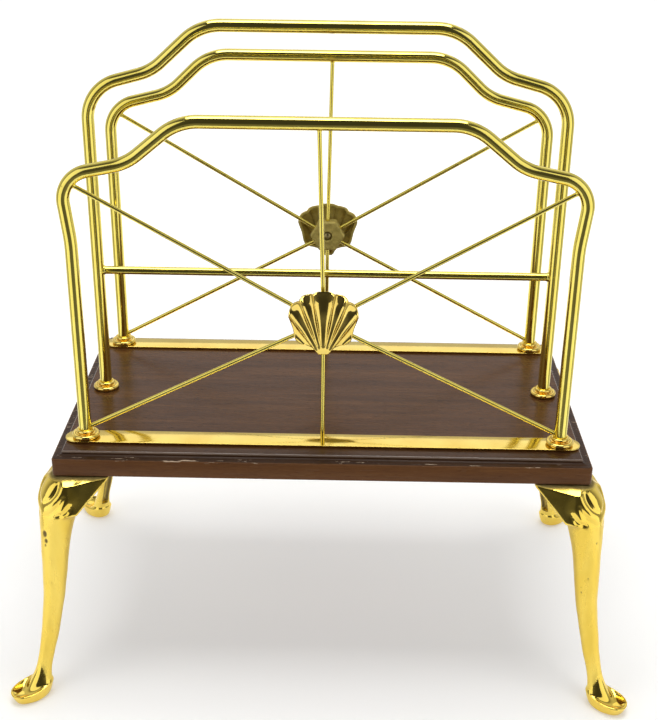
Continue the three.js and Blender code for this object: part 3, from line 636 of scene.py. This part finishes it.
def make_strip(name, material):
    """A flat bar with full round ends and softly polished edges."""
    low, high = box_mm(f"{name}_strip")
    x, y, _ = (low + high) / 2
    half_width = (high[1] - low[1]) / 2
    reach = (high[0] - low[0]) / 2 - half_width
    thickness = high[2] - low[2]
    ease = 0.45
    steps = 24
    profile = [(0.15, 0), (0, 0.15)]
    profile += [(ease - dx, dz) for dx, dz in arc((0, thickness - ease), ease, 0, 90, 4)]
    rings = []
    for inset, height in profile:
        right = arc((x + reach, y), half_width - inset, -90, 90, steps)
        left = arc((x - reach, y), half_width - inset, 90, 270, steps)
        rings.append([(px, py, low[2] + height) for px, py in right + left])
    faces = ring_faces(len(rings), len(rings[0]))
    add_piece(f"{name}_flat_strip", np.concatenate(rings), faces, material, f"{name}_strip", sharp=50)


# -------- board

MOULDING_INSET = 8.2
MOULDING_DROP = 4.1
COVE_WIDTH = MOULDING_INSET - 2.6
COVE_DEPTH = 2.1
LIP_RADIUS = 1.2
ARRIS_RADIUS = 0.5
UNDERSIDE_RADIUS = 1.0
BOARD_CORNER_RADIUS = 2.6
PLANK_WIDTH = 73
COUNTERBORE_RADIUS = 7
COUNTERBORE_DEPTH = 7
SCREW_HOLE_RADIUS = 3.1


def board_profile():
    """The side of the board from the underside up, as (inset, height) pairs."""
    thickness = BOARD_TOP - BOARD_LOW[2]
    arris = thickness - MOULDING_DROP
    profile = arc((UNDERSIDE_RADIUS, UNDERSIDE_RADIUS), UNDERSIDE_RADIUS, -90, -180, 5)
    profile += arc((ARRIS_RADIUS, arris - ARRIS_RADIUS), ARRIS_RADIUS, 180, 90, 4)
    profile += [(0.9, arris + 0.05)]
    for angle in np.linspace(0, math.pi / 2, 12):
        inset = 1.1 + COVE_WIDTH * math.sin(angle)
        profile.append((inset, arris + 0.2 + COVE_DEPTH * (1 - math.cos(angle))))
    profile += arc((MOULDING_INSET - 0.3, thickness - LIP_RADIUS), LIP_RADIUS, 195, 90, 8)
    profile += [(MOULDING_INSET + 0.6, thickness)]
    return profile


def board_ring(inset, z, radius):
    ring = []
    for quarter, (sx, sy) in enumerate(((1, -1), (1, 1), (-1, 1), (-1, -1))):
        centre = (sx * (BOARD_HIGH[0] - inset - radius), sy * (BOARD_HIGH[1] - inset - radius))
        start = (quarter - 1) * 90
        ring += [(px, py, z) for px, py in arc(centre, radius, start, start + 90, 5)]
    return ring


def make_cutter(x, y, low, high, radius):
    points, faces = turned([(radius, 0), (radius, high - low)], (x, y, low), (0, 0, 1), 40)
    return new_object("cutter", points, faces)


def make_board(material):
    rings = []
    for inset, height in board_profile():
        radius = max(0.8, BOARD_CORNER_RADIUS - 0.25 * inset)
        rings.append(board_ring(inset, BOARD_LOW[2] + height, radius))
    faces = ring_faces(len(rings), len(rings[0]))
    board = add_piece("moulded_board", np.concatenate(rings), faces, material, "base_board", sharp=None)
    cutters = []
    for foot in FEET:
        x, y, _ = middle_mm(f"{foot}_flange")
        below = BOARD_LOW[2] - 2
        cutters.append(make_cutter(x, y, below, BOARD_LOW[2] + COUNTERBORE_DEPTH, COUNTERBORE_RADIUS))
        cutters.append(make_cutter(x, y, below, BOARD_TOP + 2, SCREW_HOLE_RADIUS))
    for cutter in cutters:
        modifier = board.modifiers.new("hole", "BOOLEAN")
        modifier.operation = "DIFFERENCE"
        modifier.object = cutter
        modifier.solver = "EXACT"
    evaluated = board.evaluated_get(bpy.context.evaluated_depsgraph_get())
    drilled = bpy.data.meshes.new_from_object(evaluated)
    board.modifiers.clear()
    board.data = drilled
    drilled.shade_smooth()
    drilled.set_sharp_from_angle(angle=math.radians(38))
    for cutter in cutters:
        bpy.data.objects.remove(cutter)


# -------- shells, hubs and screws

SHELL_APEX_DROP = 24.0  # where the ridges would meet, below the hub's centre
SHELL_BASE_DROP = 20.5
SHELL_RIDGES = (-52, -35.2, -20.8, -8.6, 8.6, 20.8, 35.2, 52)
SHELL_RIM_LENGTH = 45.7
SHELL_RIM_FALL = 7.0
SHELL_LOBE_ANGLES = (-41, -25, -10, 10, 25, 41)
SHELL_LOBE_BULGE = 1.7
SHELL_WALL = 2.2
SHELL_EDGE_HEIGHT = 5.2  # how far the fluted face stands out at the apex
SHELL_DOME = 4.8  # how much further it stands out half-way up
SHELL_RIM_TURN = 2.8  # how far it falls back at the rim
SHELL_SIDE_FALL = 2.6  # and at the ears
SHELL_VALLEY_DEPTH = 2.2
SHELL_SEAT_RADIUS = 8.5
SHELL_SPACE = ((-28, -1.5, -22.5), (28, 11.4, 29))  # a box round the shell in its own axes
HUB_SPACE = ((-16, -6, -14), (16, 6, 14))


def shell_outline():
    """The shell's outline in its own plane, from the hub's centre: base, ears and rim lobes."""

    def on_ray(angle, length):
        radians = math.radians(angle)
        return np.array([length * math.sin(radians), length * math.cos(radians) - SHELL_BASE_DROP])

    def rim_length(angle):
        return SHELL_RIM_LENGTH - SHELL_RIM_FALL * (angle / SHELL_LOBE_ANGLES[-1]) ** 2

    right = [(0, -20.6), (3.6, -20.4), (5.2, -19), (6.4, -16.4), (8.2, -14.4), (11.8, -13.2)]
    right += [(16.4, -12.4), (19.4, -10.6), (20.7, -7.6), (22.2, 0)]
    rim = []
    for low, high in zip(SHELL_LOBE_ANGLES[2:-1], SHELL_LOBE_ANGLES[3:]):
        for share in np.linspace(0, 1, 9)[:-1]:
            angle = low + (high - low) * share
            rim.append(on_ray(angle, rim_length(angle) + SHELL_LOBE_BULGE * math.sin(math.pi * share)))
    rim.append(on_ray(SHELL_LOBE_ANGLES[-1], rim_length(SHELL_LOBE_ANGLES[-1])))
    rim = [tuple(point) for point in rim if point[0] > 1e-6]
    top = (0, SHELL_RIM_LENGTH + SHELL_LOBE_BULGE - SHELL_BASE_DROP)
    half = right + rim[::-1]
    return np.array(half + [top] + [(-x, z) for x, z in half[:0:-1]])


def outline_distance(points, outline):
    """Signed distance in a plane to a closed outline, negative inside."""
    nearest = np.full(len(points), np.inf)
    inside = np.zeros(len(points), bool)
    for start, end in zip(outline, np.roll(outline, -1, 0)):
        edge = end - start
        away = points - start
        share = np.clip(away @ edge / (edge @ edge), 0, 1)
        gap = away - share[:, None] * edge
        nearest = np.minimum(nearest, (gap**2).sum(1))
        level = (start[1] > points[:, 1]) != (end[1] > points[:, 1])
        if edge[1]:
            inside ^= level & (points[:, 0] < start[0] + (points[:, 1] - start[1]) * edge[0] / edge[1])
    return np.where(inside, -1, 1) * np.sqrt(nearest)


def shell_front(x, z):
    """How far the fluted face stands out from the hub: domed, with a valley between ridges."""
    angle = np.degrees(np.arctan2(x, z + SHELL_APEX_DROP))
    reach = np.hypot(x, z + SHELL_APEX_DROP) / (SHELL_RIM_LENGTH + 3.5)
    ridges = np.array(SHELL_RIDGES)
    place = np.clip(np.searchsorted(ridges, angle) - 1, 0, len(ridges) - 2)
    across = np.clip((angle - ridges[place]) / (ridges[place + 1] - ridges[place]), 0, 1)
    valley = 1 - (np.sqrt((2 * across - 1) ** 2 + 0.004) - 0.002) ** 3.2
    dome = SHELL_EDGE_HEIGHT + SHELL_DOME * (1 - np.abs(2 * np.clip(reach, 0, 1) - 1) ** 3.5)
    dome = dome - SHELL_RIM_TURN * smoothstep(reach, 0.84, 1.02)
    depth = SHELL_VALLEY_DEPTH * smoothstep(reach, 0.10, 0.62)
    side = SHELL_SIDE_FALL * smoothstep(np.abs(angle), 34, 60)
    return dome - depth * valley - side


def shell_field(points):
    """Local axes: X across, Y out from the hub, Z up."""
    x, out, z = points.T
    rim = outline_distance(np.column_stack([x, z]), SHELL_OUTLINE)
    front = shell_front(x, z)
    slab = smooth_max(rim, out - front, 1.1)
    hollow = np.maximum(out - (front - SHELL_WALL), rim + SHELL_WALL)
    shell = smooth_max(slab, -hollow, 0.5)
    shell = np.maximum(shell, -out - 0.2)
    seat = np.maximum(np.hypot(x, z) - SHELL_SEAT_RADIUS, np.maximum(out - front + 1.2, -out))
    return smooth_min(shell, seat, 0.8)


SHELL_OUTLINE = shell_outline()


def make_shell(name, mesh, polished_side, rough_side):
    """The cast shell: polished outside, rough inside."""
    points, faces = mesh
    hub = middle_mm(f"{name}_hub")
    facing = math.copysign(1, hub[1])  # -1 for the front one
    back = hub[1] + facing * (HUB_HALF_THICKNESS + 0.3)
    placed = points * [facing, facing, 1] + [0, back, hub[2]]
    piece = add_piece(f"{name}_scallop_shell", placed, faces, polished_side, f"{name}_shell", sharp=None)
    piece.data.materials.append(rough_side)
    normals = np.zeros(len(piece.data.polygons) * 3)
    piece.data.polygons.foreach_get("normal", normals)
    inner = normals.reshape(-1, 3)[:, 1] * facing < -0.25
    piece.data.polygons.foreach_set("material_index", inner.astype(np.int32))


def hub_field(points):
    """A hexagonal boss: X across its corners, Y towards its screw, Z up."""
    x, inner, z = points.T
    hexagon = np.maximum(np.abs(z), np.abs(x) * math.sin(math.pi / 3) + np.abs(z) / 2) - HUB_FLAT
    boss = smooth_max(hexagon, np.abs(inner) - HUB_HALF_THICKNESS, 1.4)
    well = np.maximum(np.hypot(x, z) - 3.95, HUB_HALF_THICKNESS - 3.0 - inner)
    return smooth_max(boss, -well, 0.4)


def hub_mesh():
    """A hub's surface with the grain of its sand mould."""
    points, faces = surface_net(hub_field, *HUB_SPACE, 0.5)
    grain = 0.10 * ripples(points, 1.6, 7) + 0.10 * ripples(points, 4.5, 8)
    return points + gradient(hub_field, points, 0.3) * grain[:, None], faces


def make_hub(name, mesh, material):
    points, faces = mesh
    hub = middle_mm(f"{name}_hub")
    facing = math.copysign(1, hub[1])
    placed = points * [-facing, -facing, 1] + hub
    add_piece(f"{name}_cast_hub", placed, faces, material, f"{name}_hub", sharp=None)


# Head height and shank radius of each kind of screw.
HUB_SCREW = (2.4, 2.0)
LEG_SCREW = (2.4, 1.75)
FRAME_SCREW = (3.4, 2.6)


def screw_field(head_radius, head_height, shank_radius, length):
    """A cross-recessed screw that points along +Z, with the bottom of its head at z = 0."""

    def field(points):
        x, y, z = points.T
        radius = np.hypot(x, y)
        dome = np.hypot(radius, (z - head_height) * head_radius / head_height) - head_radius
        head = smooth_max(dome, z - head_height, 0.2)
        thread = 0.16 * np.abs(((z + np.arctan2(y, x) / (2 * math.pi)) % 1.0) * 2 - 1)
        shank = np.maximum(radius - shank_radius + thread, np.maximum(-z + head_height - 0.3, z - length))
        body = np.minimum(head, shank * 0.9)
        arm, reach = 0.09 * head_radius + 0.12, 0.58 * head_radius
        slot = np.minimum(
            np.maximum(np.abs(x) - arm, np.abs(y) - reach), np.maximum(np.abs(y) - arm, np.abs(x) - reach)
        )
        recess = np.maximum(slot, z - 0.7 * head_height + 0.5 * radius)
        return np.maximum(body, -recess)

    return field


def make_screws(nodes, step, shape, material, axis=2):
    """Screws that share one shape; the CAD nodes give their length, head and place."""
    low, high = box_mm(nodes[0])
    length = (high - low)[axis]
    head_radius = (high - low)[(axis + 1) % 3] / 2
    field = screw_field(head_radius, *shape, length)
    reach = head_radius + 2 * step
    points, faces = surface_net(field, (-reach, -reach, -2 * step), (reach, reach, length + 2 * step), step)
    for node in nodes:
        low, high = box_mm(node)
        centre = (low + high) / 2
        if axis == 2:
            placed = points + [centre[0], centre[1], low[2]]
        else:
            facing = math.copysign(1, centre[1])
            start = low[1] if facing > 0 else high[1]
            placed = np.column_stack([points[:, 0], points[:, 2] * facing, -points[:, 1] * facing])
            placed = placed + [centre[0], start, centre[2]]
        add_piece(f"{node}_detail", placed, faces, material, node, sharp=None)


# -------- legs

LEG_TOP = BOARD_LOW[2] - 0.3
# Drop below the leg's top, centre line outwards from the board's corner, and radius.
LEG_STATIONS = np.array(
    [
        (0, -9, 16),
        (14, -5.5, 17),
        (52, 2, 11.0),
        (100, 7.2, 8.3),
        (137, 15, 6.8),
        (152, 19.3, 6.0),
        (161, 22.2, 5.6),
        (167, 24.3, 6.2),
        (174, 26.6, 8.2),
        (180, 29.2, 10.8),
        (186, 31.5, 13),
    ]
)
LEG_SMOOTHING = 6  # how widely the stations are blended, down the leg
LEG_SPACE = ((-42, -42, -LEG_TOP - 1.6), (57, 42, 1.6))  # a box round the leg in its own axes
LEG_STEP = 0.75
CHANNEL_ENDS = (6, 17)  # of the hollow inner side, below the leg's top and above the floor
WING_LENGTH = 42.5  # a wing is the bracket along one side of the board
WING_START = 8  # where it leaves the knee
WING_BACK = -14.4  # how far in under the board it reaches
WING_DEPTHS = (1.4, 27.9)  # at its tip and at the knee
WING_SWEEP = 24  # the length over which its lower edge comes down
WING_SCREW_PLACE = (31, -8)  # along the wing and in from the board's side
WING_SCREW_HOLE = 2.0
WING_COUNTERBORE = (4.5, 4)  # radius, and where it stops below the leg's top
FOOT_CENTRE = 35.8
FOOT_HALF_LENGTH = 17.2
FOOT_HALF_WIDTH = 11.5
FOOT_WALL = 1.7
FOOT_HEIGHT = 8.0  # at the toe
FOOT_RISE = 2.6  # how much higher the rim is at the heel
FOOT_WAIST = 0.76  # how much narrower the sole is
DISH_DEPTH = 4.0
DISH_HEEL = (-9, 4)  # where the dish begins and is deepest, forward from the foot's middle
# Carved lines of the knee: each runs from one (angle, drop) to another, on both sides.
KNEE_LINES = (
    ((46, 5), (2, 19)),
    ((62, 13), (16, 29)),
    ((80, 20), (52, 27)),
)
KNEE_LINE_DEPTH = 1.6
KNEE_LINE_WIDTH = 2.2
KNEE_LINE_BOW = 3.0
KNEE_RADIUS = 17
KNEE_POLISH_DROP = 29
BEVEL_SLOPE = 1.9  # how far the top of the knee and the wings leans in, for each unit of height
KNEE_BEVEL = 5.0  # height of that bevel at the corner
FACE_LEAN = 0.22  # how far the wings' faces come out below that bevel, for each unit of height
KNEE_ROUNDING = (13, 20)  # half axes of the knee's round top, outwards and down
FOOT_POLISH_DROP = 167
LARGE_PITS = ((12, 44, 1.9), (18, 50, 1.5), (14, 54, 1.1))  # angle, drop and radius


def leg_tables():
    """The stations as smooth curves: drops, and the centre line and radius at each."""
    drops = np.arange(-12, 200, 0.5)
    spread = np.exp(-0.5 * (np.arange(-18, 18.5, 0.5) / LEG_SMOOTHING) ** 2)
    spread /= spread.sum()
    pad = len(spread) // 2
    tables = []
    for column in (1, 2):
        values = np.interp(drops, LEG_STATIONS[:, 0], LEG_STATIONS[:, column])
        tables.append(np.convolve(np.pad(values, pad, mode="edge"), spread, mode="valid"))
    return drops, tables


LEG_DROPS, (LEG_CENTRES, LEG_RADII) = leg_tables()


def leg_centre(drop):
    return np.interp(drop, LEG_DROPS, LEG_CENTRES)


def leg_radius(drop):
    return np.interp(drop, LEG_DROPS, LEG_RADII)


def foot_plan(x, y, inset):
    """One on the foot's outline drawn in by that inset, less inside it and more outside."""
    power = 2.2
    along = np.abs(x / (FOOT_HALF_LENGTH - inset)) ** power
    across = np.abs(y / (FOOT_HALF_WIDTH - inset)) ** power
    return (along + across) ** (1 / power)


def foot_field(x, y, height):
    """A boat-shaped foot with a thin rim and a dished top; height is above the floor."""
    fx = x - FOOT_CENTRE
    rim_height = FOOT_HEIGHT + FOOT_RISE * np.clip(FOOT_HALF_LENGTH - fx, 0, 40) / 35
    flare = FOOT_WAIST + (1 - FOOT_WAIST) * np.sqrt(np.clip(height / rim_height, 0, 1))
    side = (foot_plan(fx, y, 0) - flare) * FOOT_HALF_WIDTH
    hull = smooth_max(side, height - rim_height, 1.0)
    hull = smooth_max(hull, -height, 0.6)
    inner = foot_plan(fx, y, FOOT_WALL)
    depth = DISH_DEPTH * smoothstep(fx, *DISH_HEEL)
    floor_of_dish = rim_height - depth * np.clip(1 - inner**2, 0, 1) ** 0.8 - 0.2
    dish = np.maximum((inner - 1) * FOOT_HALF_WIDTH, floor_of_dish - height)
    return smooth_max(hull, -dish, 0.7), side


def wing_axes(x, y, sign):
    """Distance along a board edge from its corner, and outwards from that edge."""
    along = (-x + sign * y) * math.sqrt(0.5)
    outwards = (x + sign * y) * math.sqrt(0.5)
    return along, outwards


def leg_field(points):
    """Local axes: X outwards along the diagonal from the board's corner, Z up from the leg's top."""
    x, y, z = points.T
    drop = -z
    radius = leg_radius(drop)
    off = x - leg_centre(drop)
    distance = np.hypot(off, y)
    angle = np.arctan2(y, off)
    lean = 1 - np.clip(drop / KNEE_ROUNDING[1], 0, 1)
    bevel = KNEE_ROUNDING[0] * (np.sqrt(1 - lean**2) - 1)
    section = radius * (1 + 0.05 * np.cos(3 * angle) * smoothstep(drop, 20, 60)) + bevel
    leg = (distance - section) * 0.97
    leg = smooth_max(leg, drop - LEG_TOP + 1.2, 1.0)
    for sign in (1, -1):
        along, outwards = wing_axes(x, y, sign)
        depth = (np.clip(WING_LENGTH - along, 0, WING_SWEEP) / WING_SWEEP) ** 1.05
        depth = WING_DEPTHS[0] + (WING_DEPTHS[1] - WING_DEPTHS[0]) * depth
        band = 0.5 + (KNEE_BEVEL - 0.5) * np.clip((WING_LENGTH - along) / 30, 0, 1)
        face = BEVEL_SLOPE * band - 0.9 + FACE_LEAN * (drop - band)
        face = smooth_min(face, face + BEVEL_SLOPE * (drop - band), 1.5)
        inner = WING_BACK + 1.2 * smoothstep(along, 24, WING_LENGTH)
        wing = smooth_max((drop - depth) * 0.72, np.maximum(outwards - face, inner - outwards), 1.8)
        wing = smooth_max(wing, np.maximum(along - WING_LENGTH, WING_START - along), 2.5)
        leg = smooth_min(leg, wing, 5.0)
    channel = np.hypot((off + radius * 0.98) * 0.8, y) - radius * 0.50
    channel_end = np.maximum(drop - LEG_TOP + CHANNEL_ENDS[1], CHANNEL_ENDS[0] - drop)
    channel = np.maximum(channel, channel_end)
    leg = smooth_max(leg, -channel, 1.6)
    height = z + LEG_TOP
    foot, side = foot_field(x, y, height)
    # The ankle stays within the foot's outline, and the leg is free of it higher up.
    free = 4 * smoothstep(height, 8, 15) + 60 * smoothstep(height, 15, 26)
    leg = smooth_max(leg, side - free, 1.2)
    leg = smooth_min(leg, foot, 3.5)
    for sign in (1, -1):
        along, outwards = wing_axes(x, y, sign)
        from_screw = np.hypot(along - WING_SCREW_PLACE[0], outwards - WING_SCREW_PLACE[1])
        counterbore = np.maximum(from_screw - WING_COUNTERBORE[0], WING_COUNTERBORE[1] - drop)
        leg = smooth_max(leg, -counterbore, 0.5)
        leg = np.maximum(leg, WING_SCREW_HOLE - from_screw)
    return np.maximum(leg, -drop)


def around_leg(points):
    """Each point's drop, and its distance outwards and angle from the leg's centre line."""
    drop = -points[:, 2]
    off = points[:, 0] - leg_centre(drop)
    return drop, off, np.degrees(np.arctan2(points[:, 1], off))


def carve_knee(points, slope):
    """Cuts the curved lines into the knee."""
    drop, off, angle = around_leg(points)
    arc_length = math.radians(1) * KNEE_RADIUS
    here = np.column_stack([np.abs(angle) * arc_length, drop])
    shares = np.linspace(0, 1, 12)
    bow = KNEE_LINE_BOW * np.sin(math.pi * shares)
    cut = np.zeros(len(points))
    for (start_angle, start_drop), (end_angle, end_drop) in KNEE_LINES:
        across = (start_angle + (end_angle - start_angle) * shares) * arc_length + bow * 0.5
        line = np.column_stack([across, start_drop + (end_drop - start_drop) * shares + bow * 0.6])
        nearest = np.full(len(points), np.inf)
        where = np.zeros(len(points))
        for index, (a, b) in enumerate(zip(line[:-1], line[1:])):
            share = np.clip((here - a) @ (b - a) / ((b - a) @ (b - a)), 0, 1)
            gap = np.linalg.norm(here - a - share[:, None] * (b - a), axis=1)
            where = np.where(gap < nearest, (index + share) / (len(line) - 1), where)
            nearest = np.minimum(nearest, gap)
        taper = np.sin(math.pi * np.clip(0.08 + 0.84 * where, 0, 1)) ** 0.6
        cut = np.maximum(cut, KNEE_LINE_DEPTH * taper * np.exp(-((nearest / KNEE_LINE_WIDTH) ** 2)))
    outer = smoothstep(off, -2, 2) * smoothstep(drop, 0.5, 2.5)
    return points - slope * (cut * outer)[:, None]


def add_pits(points, slope, seed, large):
    """Small casting faults on the shaft."""
    random = np.random.default_rng(seed)
    pits = [(random.uniform(-100, 100), random.uniform(34, 120), random.uniform(0.4, 0.9)) for _ in range(9)]
    pits += large
    drop, off, angle = around_leg(points)
    radius = np.hypot(points[:, 1], off)
    depth = np.zeros(len(points))
    for pit_angle, pit_drop, size in pits:
        away = np.hypot(np.radians(angle - pit_angle) * radius, (drop - pit_drop) * 0.7)
        depth = np.maximum(depth, 0.5 * size * np.exp(-((away / size) ** 2)))
    return points - slope * depth[:, None], smoothstep(depth, 0.15, 0.5)


def leg_finish(points, slope):
    """How polished, and how raw, each point of the casting is."""
    drop, off, _ = around_leg(points)
    knee = smoothstep(drop, KNEE_POLISH_DROP + 1.5, KNEE_POLISH_DROP - 1)
    outward = off / np.maximum(np.hypot(points[:, 1], off), 1e-6)
    border = FOOT_POLISH_DROP - 8 * smoothstep(outward, 0.2, 1)
    foot = smoothstep(drop - border, -0.8, 0.8)
    polish = np.maximum(knee, foot)
    radius = leg_radius(drop)
    inward = smoothstep(slope[:, 0], -0.2, -0.5) * smoothstep(-off, 0.2 * radius, 0.5 * radius)
    hollow = inward * smoothstep(np.abs(points[:, 1]), 0.62 * radius, 0.5 * radius)
    raw = np.maximum(hollow, smoothstep(slope[:, 2], 0.6, 0.9) * smoothstep(drop, 3, 1))
    raw = raw * smoothstep(drop, FOOT_POLISH_DROP + 3, FOOT_POLISH_DROP - 3)
    return polish * (1 - raw), raw


def make_legs(material):
    points, faces = surface_net(leg_field, *LEG_SPACE, LEG_STEP)
    slope = gradient(leg_field, points, 0.3)
    slope /= np.maximum(np.linalg.norm(slope, axis=1, keepdims=True), 1e-6)
    polish, raw = leg_finish(points, slope)
    carved = carve_knee(points, slope)
    free = smoothstep(points[:, 2], -0.3, -2) * smoothstep(points[:, 2], -LEG_TOP + 0.2, -LEG_TOP + 2)
    carved = carved + slope * (0.10 * ripples(points, 14, 3) * free)[:, None]
    carved = carved + slope * (0.16 * ripples(points, 2.2, 4) * raw * free)[:, None]
    for seed, corner in enumerate(CORNERS):
        large = LARGE_PITS if corner == "front_left" else ()
        leg, pitted = add_pits(carved, slope, 20 + seed, large)
        side = -1 if corner.endswith("left") else 1
        depth = -1 if corner.startswith("front") else 1
        turn = math.atan2(depth, side)
        cosine, sine = math.cos(turn), math.sin(turn)
        x = leg[:, 0] * cosine - leg[:, 1] * sine + side * BOARD_HIGH[0]
        y = leg[:, 0] * sine + leg[:, 1] * cosine + depth * BOARD_HIGH[1]
        placed = np.column_stack([x, y, np.maximum(leg[:, 2] + LEG_TOP, 0)])
        marks = {"polish": polish, "raw": np.maximum(raw, pitted)}
        add_piece(f"{corner}_cast_leg", placed, faces, material, f"{corner}_leg", None, marks)


# -------- build

FEET = [f"{name}_{side}" for name in ("front", "middle", "back") for side in ("left", "right")]
CORNERS = [f"{depth}_{side}" for depth in ("front", "back") for side in ("left", "right")]


FLOOR_CORNERS = ((-420, -450, 0), (420, -450, 0), (1600, 4600, 0), (-1600, 4600, 0))
FLOOR_DROP = 0.4  # keeps the floor clear of the soles


def make_floor(material):
    floor = new_object("floor", FLOOR_CORNERS, [(0, 1, 2, 3)])
    floor.data.materials.append(material)
    floor.location.z = -FLOOR_DROP * MM


bpy.context.scene.view_settings.view_transform = "Standard"
make_camera()
make_world()
make_lights()
make_floor(floor_material())

polished = brass_material("polished_brass", CAST_BRASS)
drawn = brass_material("drawn_brass", DRAWN_BRASS)
rod = brass_material("satin_brass", DRAWN_BRASS, smoothness=(0.12, 0.2), wiping=0.01)
cast = brass_material("polished_cast_brass", CAST_BRASS, smoothness=(0.05, 0.11), waviness=0.12)
rough = rough_brass_material()
steel = steel_material("screw_steel", (0.50, 0.49, 0.46, 1), (0.24, 0.22, 0.18, 1))
yellow_steel = steel_material("yellowed_steel", (0.50, 0.43, 0.22, 1), (0.22, 0.17, 0.07, 1))

for name in ("front", "middle", "back"):
    shoulder = make_tube(name, drawn)
    if name != "middle":
        make_spokes(name, shoulder, rod)
        make_strip(name, polished)
make_cross_bar(drawn)
for foot in FEET:
    make_flange(foot, polished)
make_board(wood_material())

shell = surface_net(shell_field, *SHELL_SPACE, 0.42)
hub = hub_mesh()
for name in ("front", "back"):
    make_shell(name, shell, cast, rough)
    make_hub(name, hub, rough)
make_screws(["front_hub_screw", "back_hub_screw"], 0.22, HUB_SCREW, yellow_steel, axis=1)
leg_screws = [f"{corner}_leg_screw_{number}" for corner in CORNERS for number in (1, 2)]
make_screws(leg_screws, 0.3, LEG_SCREW, steel)
for feet in (FEET[2:4], FEET[:2] + FEET[4:]):
    make_screws([f"{foot}_frame_screw" for foot in feet], 0.35, FRAME_SCREW, steel)
make_legs(leg_material())

for foot in FEET:
    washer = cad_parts[f"{foot}_washer"]
    washer.data.materials.clear()
    washer.data.materials.append(steel)
